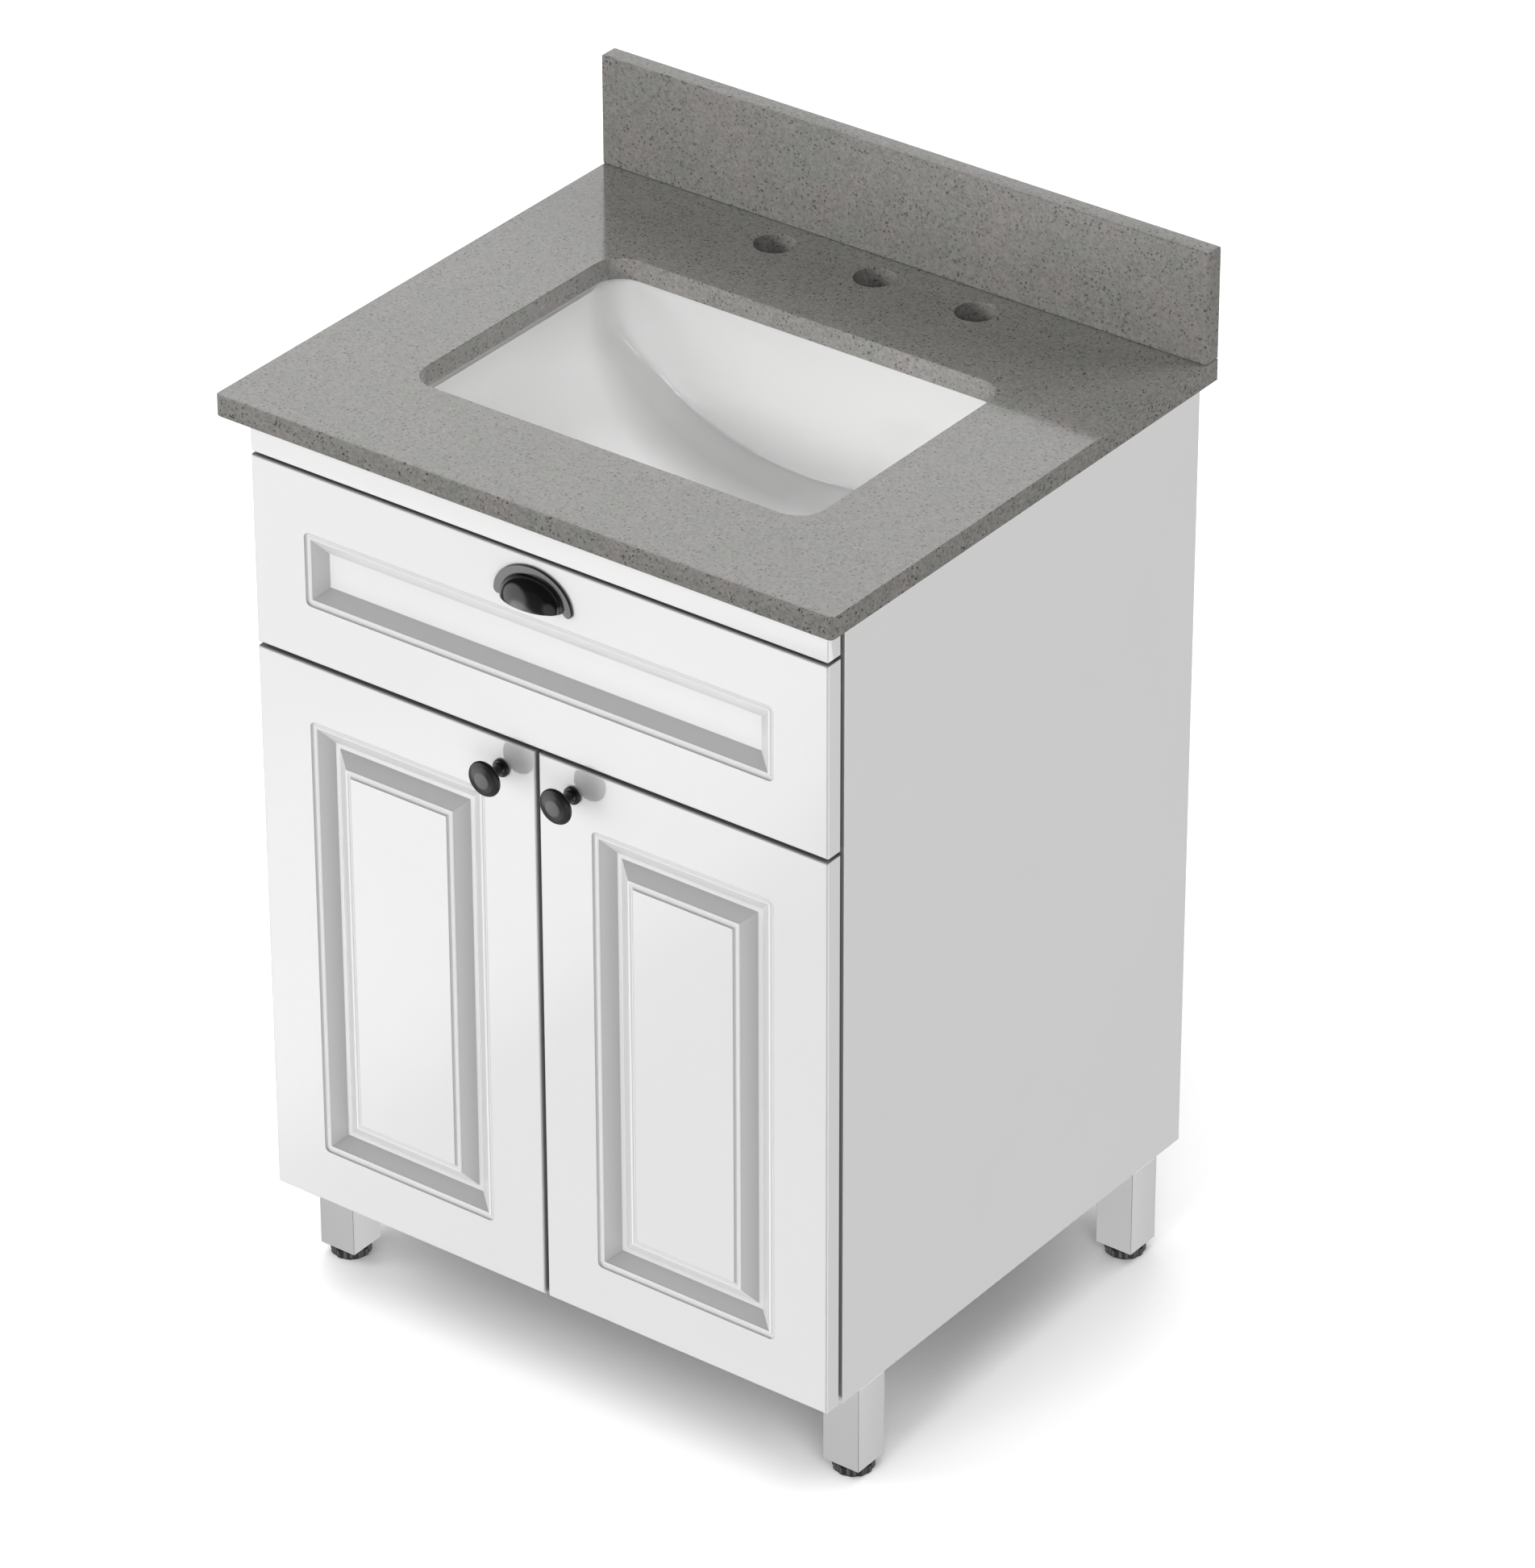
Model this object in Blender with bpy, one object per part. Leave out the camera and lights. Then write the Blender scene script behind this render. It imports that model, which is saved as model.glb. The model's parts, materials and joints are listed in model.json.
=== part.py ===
"""Bathroom vanity cabinet: stone top with undermount basin, one drawer, two doors, four legs.

Metres, +Z up. The cabinet faces -Y, and X = 0 is its middle. The origin lies on the floor
under the middle of the whole object's box.
"""

from math import atan2, cos, pi, radians, sin, sqrt

import bmesh
import bpy
from mathutils import Matrix, Vector

# ---------------------------------------------------------------- driving dimensions
GAP = 0.0003                 # clearance between pieces that touch

TOP_WIDTH = 0.6096           # stone top, left to right
TOP_DEPTH = 0.5242           # stone top, front to back
TOP_THICK = 0.0196
TOP_HEIGHT = 0.8540          # floor to the top face of the stone
SPLASH_THICK = 0.0180
SPLASH_HEIGHT = 0.1010
TOP_CORNER = 0.0050          # rounding of the stone's front corners in plan
STONE_EDGE = 0.0012          # eased edges of the stone

CUTOUT_HALF_X = 0.1976
CUTOUT_HALF_Y = 0.1353
CUTOUT_CENTRE = 0.2475       # behind the stone's front edge
CUTOUT_CORNER = 0.0240
FAUCET_SPACING = 0.1016
FAUCET_RADIUS = 0.0174
FAUCET_SETBACK = 0.4745

CABINET_HALF = 0.2866        # half the width over the side panels
CABINET_BACK = 0.5267        # back of the cabinet, behind the stone's front edge
BOARD = 0.0160               # carcass board
CARCASS_FRONT = 0.0420       # front edges of the side panels, behind the stone's front edge
CARCASS_BOTTOM = 0.0961
FRONT_FACE = 0.0204          # face of the doors and drawer, behind the stone's front edge
FRONT_THICK = 0.0167
DOOR_BOTTOM = 0.0980
DOOR_TOP = 0.6200
DRAWER_BOTTOM = 0.6234
DRAWER_TOP = 0.7967
FASCIA_BOTTOM = 0.7994
CENTRE_GAP = 0.0034          # between the two doors

STILE = 0.0524               # plain margin at the sides of a door or drawer front
DOOR_RAIL_BOTTOM = 0.0509
DOOR_RAIL_TOP = 0.0533
DRAWER_RAIL_BOTTOM = 0.0515
DRAWER_RAIL_TOP = 0.0540

LEG_SIZE = 0.0364
LEG_BOTTOM = 0.0106
LEG_INSET = 0.0030           # leg's outer face inside the side panel's face
FRONT_LEG = 0.0868           # leg centres, behind the stone's front edge
REAR_LEG = 0.4799
PLATE_SIZE = 0.0640
PLATE_THICK = 0.0025
FOOT_RADIUS = 0.0179
FOOT_HEIGHT = 0.0092

SCREW_RADIUS = 0.0020         # machine screws of the knobs
SCREW_HEAD = 0.0042
KNOB_PROJECTION = 0.0270
KNOB_FROM_CENTRE = 0.0359
KNOB_HEIGHT = 0.5930
PULL_HEIGHT = 0.7580         # bottom edge of the cup pull's hood
PULL_HALF_WIDTH = 0.0389
PULL_RISE = 0.0308
PULL_FLANGE = 0.0020
PULL_PROJECTION = 0.0175
PULL_WALL = 0.0016
HOOD_HALF_WIDTH = 0.0302
HOOD_RISE = 0.0236

HINGE_HEIGHTS = (0.1980, 0.5200)
HINGE_PIVOT_FIXED = (0.0295, 0.0331)   # from the cabinet's outer face, and behind the stone's edge
HINGE_PIVOT_CUP = (0.0148, 0.0373)
CUP_INSET = 0.0225           # centre of the hinge cup from the door's edge
CUP_RADIUS = 0.0175
CUP_DEPTH = 0.0110
CUP_FLANGE = 0.0025
CUP_LIP = 0.0008
PIN_RADIUS = 0.0016
PLATE_WING = 0.0260           # mounting plate: reach of its wings, and half widths
PLATE_BODY = 0.0085
PLATE_NECK = 0.0070
LINK_RADIUS = 0.0033
LINK_HALF = 0.0055           # half the link's height
ARM_NOSE = 0.0032
ARM_EAR = 0.0018
ARM_LENGTH = 0.0680          # from the fixed pivot to the arm's rear end
ARM_SEAT = 0.0360            # length of the arm that lies on its plate
ARM_PLATE = 0.0030

SLIDE_HEIGHT = 0.6700
SLIDE_LENGTH = 0.3940
SLIDE_SETBACK = 0.0030
SLIDE_WIDTH = 0.0127
SLIDE_SHEET = 0.0012
BOX_DEPTH = 0.4000
BOX_WALL = 0.0120
BOX_FLOOR = 0.0060
BOX_BOTTOM = 0.6400
BOX_TOP = 0.6950
NOTCH_HALF = 0.0800          # pipe notch in the drawer box
NOTCH_FRONT = 0.1780         # its front end, behind the stone's front edge

BOWL_HALF_X = 0.2060
BOWL_HALF_Y = 0.1450
BOWL_CORNER = 0.0320
BOWL_DEPTH = 0.1445          # below the top face of the stone
BOWL_REACH = 0.2010          # half length of the bowl's trough, which is half an ellipse
BOWL_SHOULDER = 0.0260       # depth of the trough's two ends
BOWL_WALL = 0.0090
RIM_WIDTH = 0.0240
RIM_THICK = 0.0120
DRAIN_RADIUS = 0.0225
DRAIN_SEAT = 0.0160          # from the bowl's lowest point down to the underside of the drain boss
BOSS_RADIUS = 0.0345
FOLD = 0.0300                # softness of the fold between the bowl's walls and its trough
# The bowl's walls, ring by ring: inset along x, inset along y, corner radius, depth under the rim.
BOWL_RINGS = ((0.004, 0.0012, 0.034, 0.018), (0.009, 0.0026, 0.038, 0.044),
              (0.015, 0.0044, 0.044, 0.078), (0.022, 0.0080, 0.050, 0.112),
              (0.032, 0.0140, 0.054, 0.150), (0.046, 0.0240, 0.052, 0.200))
BOWL_UNDERSIDE = ((0.120, 0.075, 0.050), (0.030, 0.020, 0.060), (0.014, 0.006, 0.052))
BOWL_OUTSIDE = ((0.004, -0.001, 0.048, 0.084), (-0.003, -0.005, 0.044, 0.050))

# ---------------------------------------------------------------- derived places
KNOB_OVERHANG = KNOB_PROJECTION + GAP - FRONT_FACE
FRONT_Y = -(CABINET_BACK - KNOB_OVERHANG) / 2      # y of the stone's front edge
UNDERSIDE = TOP_HEIGHT - TOP_THICK
FRONT_BACK = FRONT_FACE + FRONT_THICK              # back of the doors and drawer front
INNER_HALF = CABINET_HALF - BOARD                  # inner faces of the side panels
DOOR_WIDTH = CABINET_HALF - CENTRE_GAP / 2

# ---------------------------------------------------------------- materials
WHITE = ((0.87, 0.87, 0.87), 0.25, 0.0)
BOARD_WHITE = ((0.82, 0.82, 0.82), 0.40, 0.0)
STONE = ((0.36, 0.35, 0.34), 0.30, 0.0)
CERAMIC = ((0.90, 0.90, 0.90), 0.12, 0.0)
BLACK = ((0.035, 0.035, 0.035), 0.35, 0.4)
ALUMINIUM = ((0.78, 0.78, 0.79), 0.32, 0.9)
STEEL = ((0.62, 0.63, 0.65), 0.30, 0.9)
ZINC = ((0.55, 0.56, 0.58), 0.35, 0.9)
PLASTIC = ((0.03, 0.03, 0.03), 0.55, 0.0)
PLYWOOD = ((0.80, 0.77, 0.70), 0.55, 0.0)


def y_at(setback):
    """World y of a point that lies this far behind the stone's front edge."""
    return FRONT_Y + setback


def make_material(name, look):
    colour, roughness, metallic = look
    material = bpy.data.materials.new(name)
    material.use_nodes = True
    shader = material.node_tree.nodes["Principled BSDF"]
    shader.inputs["Base Color"].default_value = (*colour, 1.0)
    shader.inputs["Roughness"].default_value = roughness
    shader.inputs["Metallic"].default_value = metallic
    return material


def add_object(name, mesh_builder, look, location=(0, 0, 0), smooth_angle=None):
    """Turn a bmesh into a named object with its own material."""
    bmesh.ops.recalc_face_normals(mesh_builder, faces=mesh_builder.faces)
    mesh = bpy.data.meshes.new(name)
    mesh_builder.to_mesh(mesh)
    mesh_builder.free()
    if smooth_angle:
        mesh.shade_smooth()
        mesh.set_sharp_from_angle(angle=smooth_angle)
    mesh.materials.append(make_material(name, look))
    obj = bpy.data.objects.new(name, mesh)
    obj.location = location
    bpy.context.scene.collection.objects.link(obj)
    return obj


def box_mesh(low, high):
    """A bmesh box between two corners."""
    bm = bmesh.new()
    size = Vector(high) - Vector(low)
    centre = (Vector(high) + Vector(low)) / 2
    place = Matrix.Translation(centre) @ Matrix.Diagonal((*size, 1.0))
    bmesh.ops.create_cube(bm, size=1.0, matrix=place)
    return bm


def add_board(name, x_span, setback_span, z_span, look=BOARD_WHITE, edge=0.0006):
    """A flat board between world x values, setbacks from the stone's edge, and heights."""
    low = (x_span[0], y_at(setback_span[0]), z_span[0])
    high = (x_span[1], y_at(setback_span[1]), z_span[1])
    centre = (Vector(low) + Vector(high)) / 2
    bm = box_mesh(Vector(low) - centre, Vector(high) - centre)
    obj = add_object(name, bm, look, centre)
    if edge:
        bevel = obj.modifiers.new("eased_edges", "BEVEL")
        bevel.width = edge
        bevel.segments = 1
    return obj


def extrude_outline(points, height):
    """A prism: a closed outline in the plane z = 0, extruded up by height."""
    bm = bmesh.new()
    face = bm.faces.new([bm.verts.new((x, y, 0.0)) for x, y in points])
    grown = bmesh.ops.extrude_face_region(bm, geom=[face])
    moved = [item for item in grown["geom"] if isinstance(item, bmesh.types.BMVert)]
    bmesh.ops.translate(bm, verts=moved, vec=(0.0, 0.0, height))
    return bm


def turn_profile(profile, segments):
    """A solid of revolution about Z. The profile runs from axis to axis as (radius, z)."""
    bm = bmesh.new()
    rings = []
    for radius, height in profile:
        if radius == 0.0:
            rings.append([bm.verts.new((0.0, 0.0, height))])
            continue
        turns = [2 * pi * i / segments for i in range(segments)]
        rings.append([bm.verts.new((radius * cos(a), radius * sin(a), height)) for a in turns])
    for lower, upper in zip(rings, rings[1:]):
        join_rings(bm, lower, upper)
    return bm


def join_rings(bm, first, second):
    """Faces between two closed rings of points, either of which may be a single point."""
    count = max(len(first), len(second))
    for i in range(count):
        j = (i + 1) % count
        if len(first) == 1:
            bm.faces.new((first[0], second[j], second[i]))
        elif len(second) == 1:
            bm.faces.new((first[i], first[j], second[0]))
        else:
            bm.faces.new((first[i], first[j], second[j], second[i]))


def rounded_rectangle(half_x, half_y, radius, steps, cuts=(0, 0)):
    """Points of a rounded rectangle about the origin, anticlockwise.

    Each corner arc has this many steps, and the sides along x and along y have these many
    further points.
    """
    arcs = []
    for quarter, (sx, sy) in enumerate(((1, 1), (-1, 1), (-1, -1), (1, -1))):
        angles = [(quarter + i / steps) * pi / 2 for i in range(steps + 1)]
        centre = Vector((sx * (half_x - radius), sy * (half_y - radius)))
        arcs.append([centre + radius * Vector((cos(a), sin(a))) for a in angles])
    points = []
    for quarter, arc in enumerate(arcs):
        points += arc
        start, end = arc[-1], arcs[(quarter + 1) % 4][0]
        extra = cuts[quarter % 2]
        points += [start.lerp(end, (i + 1) / (extra + 1)) for i in range(extra)]
    return points


def cut(obj, tool_bm, name, operation="DIFFERENCE"):
    """Subtract a closed tool from an object, or add it. The tool stays as a hidden wire guide."""
    bmesh.ops.recalc_face_normals(tool_bm, faces=tool_bm.faces)
    mesh = bpy.data.meshes.new(name)
    tool_bm.to_mesh(mesh)
    tool_bm.free()
    tool = bpy.data.objects.new(name, mesh)
    tool.hide_render = True
    tool.display_type = "WIRE"
    bpy.context.scene.collection.objects.link(tool)
    boolean = obj.modifiers.new(name, "BOOLEAN")
    boolean.operation = operation
    boolean.solver = "EXACT"
    boolean.object = tool


def cylinder_mesh(radius, low, high, segments, axis="Z"):
    """A bmesh cylinder from point low to point high along one world axis."""
    bm = bmesh.new()
    start, end = Vector(low), Vector(high)
    bmesh.ops.create_cone(bm, cap_ends=True, segments=segments, radius1=radius, radius2=radius,
                          depth=(end - start).length)
    turn = {"X": Matrix.Rotation(pi / 2, 4, "Y"), "Y": Matrix.Rotation(pi / 2, 4, "X"),
            "Z": Matrix.Identity(4)}[axis]
    bmesh.ops.transform(bm, matrix=Matrix.Translation((start + end) / 2) @ turn, verts=bm.verts)
    return bm


# ---------------------------------------------------------------- stone top and basin
def build_countertop():
    """Stone slab with rounded front corners, a basin cut-out and three faucet holes."""
    half = TOP_WIDTH / 2
    front, back = y_at(0.0), y_at(TOP_DEPTH)
    outline = [(half, back), (-half, back)]
    for cx, start in ((-half + TOP_CORNER, pi), (half - TOP_CORNER, 1.5 * pi)):
        for i in range(5):
            a = start + i * pi / 8
            outline.append((cx + TOP_CORNER * cos(a), front + TOP_CORNER + TOP_CORNER * sin(a)))
    bm = extrude_outline(outline, TOP_THICK)
    obj = add_object("countertop", bm, STONE, (0, 0, UNDERSIDE), radians(30))

    drop = 0.01
    opening = rounded_rectangle(CUTOUT_HALF_X, CUTOUT_HALF_Y, CUTOUT_CORNER, 6)
    tool = extrude_outline(opening, TOP_THICK + 2 * drop)
    bmesh.ops.translate(tool, verts=tool.verts, vec=(0, y_at(CUTOUT_CENTRE), UNDERSIDE - drop))
    cut(obj, tool, "cutter_basin_opening")
    for i in (-1, 0, 1):
        low = (i * FAUCET_SPACING, y_at(FAUCET_SETBACK), UNDERSIDE - drop)
        high = (low[0], low[1], TOP_HEIGHT + drop)
        cut(obj, cylinder_mesh(FAUCET_RADIUS, low, high, 24), "cutter_faucet_%d" % (i + 2))
    bevel = obj.modifiers.new("eased_edges", "BEVEL")
    bevel.width = STONE_EDGE
    bevel.segments = 1
    bevel.angle_limit = radians(60)


def build_backsplash():
    """Stone upstand along the back edge of the top."""
    half = TOP_WIDTH / 2
    low = TOP_HEIGHT + GAP
    add_board("backsplash", (-half, half), (TOP_DEPTH - SPLASH_THICK, TOP_DEPTH),
              (low, TOP_HEIGHT + SPLASH_HEIGHT), STONE, STONE_EDGE)


def smooth_min(a, b, blend):
    """The smaller of two values, rounded where they meet."""
    h = max(blend - abs(a - b), 0.0) / blend
    return min(a, b) - h * h * blend / 4


def trough_depth(x, wall):
    """Depth of the bowl's floor below the stone's top face: half an ellipse along x.

    The wall is 0 for the inside of the bowl, and its thickness for the outside.
    """
    share = min(abs(x) / (BOWL_REACH + wall), 1.0)
    return BOWL_SHOULDER + (BOWL_DEPTH - BOWL_SHOULDER) * sqrt(1 - share ** 2) + wall


def bowl_outline(half_x, half_y, corner):
    """An outline of the bowl, with enough points on its sides to follow the trough."""
    return rounded_rectangle(half_x, half_y, corner, 6, (9, 5))


def circle_outline(radius):
    """A circle with one point for each point of the bowl's outline."""
    outline = bowl_outline(BOWL_HALF_X, BOWL_HALF_Y, BOWL_CORNER)
    angles = [atan2(y / BOWL_HALF_Y, x / BOWL_HALF_X) for x, y in outline]
    return [Vector((radius * cos(a), radius * sin(a))) for a in angles]


def bowl_ring(bm, outline, wall_depth, wall, lower_by=0.0):
    """One ring of the bowl: it follows the wall down until it meets the trough."""
    ring = []
    for x, y in outline:
        depth = smooth_min(wall_depth, trough_depth(x, wall) + lower_by, FOLD)
        ring.append(bm.verts.new((x, y_at(CUTOUT_CENTRE) + y, TOP_HEIGHT - depth)))
    return ring


def flat_ring(bm, outline, height):
    """A level ring of the basin's rim or drain."""
    return [bm.verts.new((x, y_at(CUTOUT_CENTRE) + y, height)) for x, y in outline]


def inset_outline(inset_x, inset_y, corner):
    """The bowl's outline, drawn in by these amounts."""
    return bowl_outline(BOWL_HALF_X - inset_x, BOWL_HALF_Y - inset_y, corner)


def floor_rings(bm):
    """Rings that run from the foot of the bowl's walls over its floor towards the drain."""
    foot = inset_outline(*BOWL_RINGS[-1][:3])
    drain = circle_outline(DRAIN_RADIUS)
    rings = []
    for share in (0.25, 0.5, 0.75):
        outline = [outer.lerp(inner, share) for outer, inner in zip(foot, drain)]
        rings.append(bowl_ring(bm, outline, TOP_HEIGHT, 0.0, 0.003 * share))
    return rings


def drain_rings(bm):
    """The drain's funnel and hole, and the flat seat round it under the bowl."""
    floor = TOP_HEIGHT - BOWL_DEPTH
    seat = floor - DRAIN_SEAT
    sizes = ((DRAIN_RADIUS + 0.004, floor - 0.004), (DRAIN_RADIUS, floor - 0.006),
             (DRAIN_RADIUS, seat), (BOSS_RADIUS, seat), (BOSS_RADIUS, floor - BOWL_WALL - 0.002))
    return [flat_ring(bm, circle_outline(radius), height) for radius, height in sizes]


def build_basin():
    """Undermount basin: a flat rim, steep walls, a trough floor and an open drain."""
    bm = bmesh.new()
    rim_top = UNDERSIDE - GAP
    rim_x, rim_y, rim_corner = BOWL_HALF_X + RIM_WIDTH, BOWL_HALF_Y + RIM_WIDTH, 0.030
    eased = 0.002
    under_rim = TOP_THICK + GAP
    rings = [
        flat_ring(bm, bowl_outline(rim_x, rim_y, rim_corner), rim_top - RIM_THICK),
        flat_ring(bm, bowl_outline(rim_x, rim_y, rim_corner), rim_top - eased),
        flat_ring(bm, bowl_outline(rim_x - eased, rim_y - eased, rim_corner - eased), rim_top),
        flat_ring(bm, inset_outline(0.0, 0.0, BOWL_CORNER), rim_top),
    ]
    for inset_x, inset_y, corner, fall in BOWL_RINGS:
        rings.append(bowl_ring(bm, inset_outline(inset_x, inset_y, corner), under_rim + fall, 0.0))
    rings += floor_rings(bm) + drain_rings(bm)
    for insets in BOWL_UNDERSIDE:
        rings.append(bowl_ring(bm, inset_outline(*insets), TOP_HEIGHT, BOWL_WALL))
    for inset_x, inset_y, corner, fall in BOWL_OUTSIDE:
        outline = inset_outline(inset_x, inset_y, corner)
        rings.append(bowl_ring(bm, outline, under_rim + fall, BOWL_WALL))
    outer = inset_outline(-BOWL_WALL, -BOWL_WALL, 0.040)
    rings.append(flat_ring(bm, outer, rim_top - RIM_THICK))
    for first, second in zip(rings, rings[1:] + rings[:1]):
        join_rings(bm, first, second)
    add_object("sink_basin", bm, CERAMIC, smooth_angle=radians(40))


# ---------------------------------------------------------------- doors and drawer front
def panel_profile(raised):
    """Steps from the flat frame inwards, as (distance from the frame's edge, depth)."""
    steps = [(0.0000, 0.0000), (0.0008, 0.0008), (0.0020, 0.0013), (0.0031, 0.0014),
             (0.0040, 0.0011), (0.0062, 0.0013), (0.0067, 0.0018), (0.0183, 0.0096)]
    if not raised:
        return steps + [(0.0200, 0.0096)]
    width = 0.0406
    return steps + [(width - s, d) for s, d in reversed(steps)]


def build_front(name, size, margins, raised, look=WHITE):
    """A moulded front about its own middle: x across, z up, its face towards -Y at y = 0."""
    width, height = size
    side, bottom, top = margins
    bm = bmesh.new()
    steps = 3

    def ring(half_x, low, high, corner, depth):
        """A rounded rectangle in the plane y = depth."""
        middle, half_z = (low + high) / 2, (high - low) / 2
        points = rounded_rectangle(half_x, half_z, corner, steps)
        return [bm.verts.new((x, depth, middle + z)) for x, z in points]

    half, low, high = width / 2, -height / 2, height / 2
    soft = 0.0018
    rings = [ring(half, low, high, 0.0006, FRONT_THICK),
             ring(half, low, high, 0.0006, soft)]
    for i in (1, 2):
        a = i * pi / 4
        inset = soft * (1 - cos(a))
        rings.append(ring(half - inset, low + inset, high - inset, 0.0006, soft * (1 - sin(a))))
    for offset, depth in panel_profile(raised):
        corner = max(0.0050 - offset, 0.0006)
        rings.append(ring(half - side - offset, low + bottom + offset, high - top - offset,
                          corner, depth))
    for first, second in zip(rings, rings[1:]):
        join_rings(bm, first, second)
    bm.faces.new(reversed(rings[0]))
    bm.faces.new(rings[-1])
    return add_object(name, bm, look)


def build_door(side, sign):
    """One door. Its origin lies on the axis of its hinge cups' pivots."""
    door = build_front("door_" + side, (DOOR_WIDTH, DOOR_TOP - DOOR_BOTTOM),
                       (STILE, DOOR_RAIL_BOTTOM, DOOR_RAIL_TOP), True)
    centre = Vector((sign * (CENTRE_GAP / 2 + DOOR_WIDTH / 2), y_at(FRONT_FACE),
                     (DOOR_BOTTOM + DOOR_TOP) / 2))
    pivot = Vector((sign * (CABINET_HALF - HINGE_PIVOT_CUP[0]), y_at(HINGE_PIVOT_CUP[1]), centre.z))
    door.data.transform(Matrix.Translation(centre - pivot))
    door.location = pivot
    past = 0.005
    back = y_at(FRONT_BACK)
    cup_x = sign * (CABINET_HALF - CUP_INSET)
    for level, height in zip(("lower", "upper"), HINGE_HEIGHTS):
        bore = cylinder_mesh(CUP_RADIUS + GAP, (cup_x, back - CUP_DEPTH - 2 * GAP, height),
                             (cup_x, back + past, height), 24, "Y")
        cut(door, bore, "cutter_%s_%s_cup" % (side, level))
    knob_x = sign * KNOB_FROM_CENTRE
    hole = cylinder_mesh(SCREW_RADIUS + 0.0004, (knob_x, y_at(FRONT_FACE) - past, KNOB_HEIGHT),
                         (knob_x, back + past, KNOB_HEIGHT), 12, "Y")
    cut(door, hole, "cutter_%s_knob_hole" % side)
    return door


def build_knob(side, sign):
    """Mushroom knob with its screw through the door, turned about Y."""
    back = FRONT_THICK + 2 * GAP
    segments = 20
    profile = [(0.0, back + 0.0024), (0.0030, back + 0.0024), (SCREW_HEAD, back + 0.0012),
               (SCREW_HEAD, back), (SCREW_RADIUS, back), (SCREW_RADIUS, 0.0), (0.0078, 0.0),
               (0.0080, -0.0012), (0.0074, -0.0024), (0.0056, -0.0030), (0.0046, -0.0050),
               (0.0044, -0.0110), (0.0052, -0.0160), (0.0086, -0.0186), (0.0140, -0.0196),
               (0.0156, -0.0208), (0.0158, -0.0222), (0.0148, -0.0236), (0.0116, -0.0252),
               (0.0070, -0.0265), (0.0, -KNOB_PROJECTION)]
    bm = turn_profile(profile, segments)
    bmesh.ops.rotate(bm, verts=bm.verts, matrix=Matrix.Rotation(-pi / 2, 3, "X"))
    place = (sign * KNOB_FROM_CENTRE, y_at(FRONT_FACE) - GAP, KNOB_HEIGHT)
    return add_object("knob_" + side, bm, BLACK, place, radians(35))


def half_ring(bm, radius_x, radius_z, depth, turns=16):
    """Half an ellipse in the plane y = depth, from the right end over the top to the left."""
    angles = [pi * i / turns for i in range(turns + 1)]
    return [bm.verts.new((radius_x * cos(a), depth, radius_z * sin(a))) for a in angles]


def build_cup_pull():
    """Bin pull: a half-round flange with round feet, and a hollow hood open at its bottom."""
    bm = bmesh.new()
    wide, tall = PULL_HALF_WIDTH, PULL_RISE
    eased = 0.0005
    outside = [half_ring(bm, wide - eased, tall - eased, 0.0),
               half_ring(bm, wide, tall, -eased),
               half_ring(bm, wide, tall, -PULL_FLANGE + eased),
               half_ring(bm, wide - eased, tall - eased, -PULL_FLANGE)]
    inside = []
    levels = 6
    for i in range(levels + 1):
        a = (i / levels) ** 0.85 * pi / 2 * 0.96
        reach = PULL_FLANGE + (PULL_PROJECTION - PULL_FLANGE) * sin(a)
        outside.append(half_ring(bm, HOOD_HALF_WIDTH * cos(a), HOOD_RISE * cos(a), -reach))
        inside.append(half_ring(bm, (HOOD_HALF_WIDTH - PULL_WALL) * cos(a),
                                (HOOD_RISE - PULL_WALL) * cos(a), -reach + PULL_WALL * sin(a)))
    inside.reverse()
    inside.append(half_ring(bm, HOOD_HALF_WIDTH - PULL_WALL, HOOD_RISE - PULL_WALL, 0.0))
    for rings in (outside, inside, [inside[-1], outside[0]]):
        for first, second in zip(rings, rings[1:]):
            for i in range(len(first) - 1):
                bm.faces.new((first[i], first[i + 1], second[i + 1], second[i]))
    outer_tip, inner_tip = outside[-1], inside[0]
    bm.faces.new(outer_tip)
    bm.faces.new(inner_tip)
    bm.faces.new((outer_tip[0], outer_tip[-1], inner_tip[-1], inner_tip[0]))
    for end in (0, -1):
        bm.faces.new([ring[end] for ring in outside + inside])
    place = Vector((0, y_at(FRONT_FACE) - GAP, PULL_HEIGHT))
    pull = add_object("cup_pull", bm, BLACK, place, radians(35))
    foot = (PULL_HALF_WIDTH - HOOD_HALF_WIDTH) / 2 - 0.0002
    for side, sign in (("left", -1), ("right", 1)):
        centre = place + Vector((sign * (PULL_HALF_WIDTH - foot - 0.0003), 0, 0.0006))
        low, high = centre - Vector((0, PULL_FLANGE - 0.0003, 0)), centre - Vector((0, 0.0002, 0))
        cut(pull, cylinder_mesh(foot, low, high, 18, "Y"), "guide_pull_foot_" + side, "UNION")
    return pull


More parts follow.
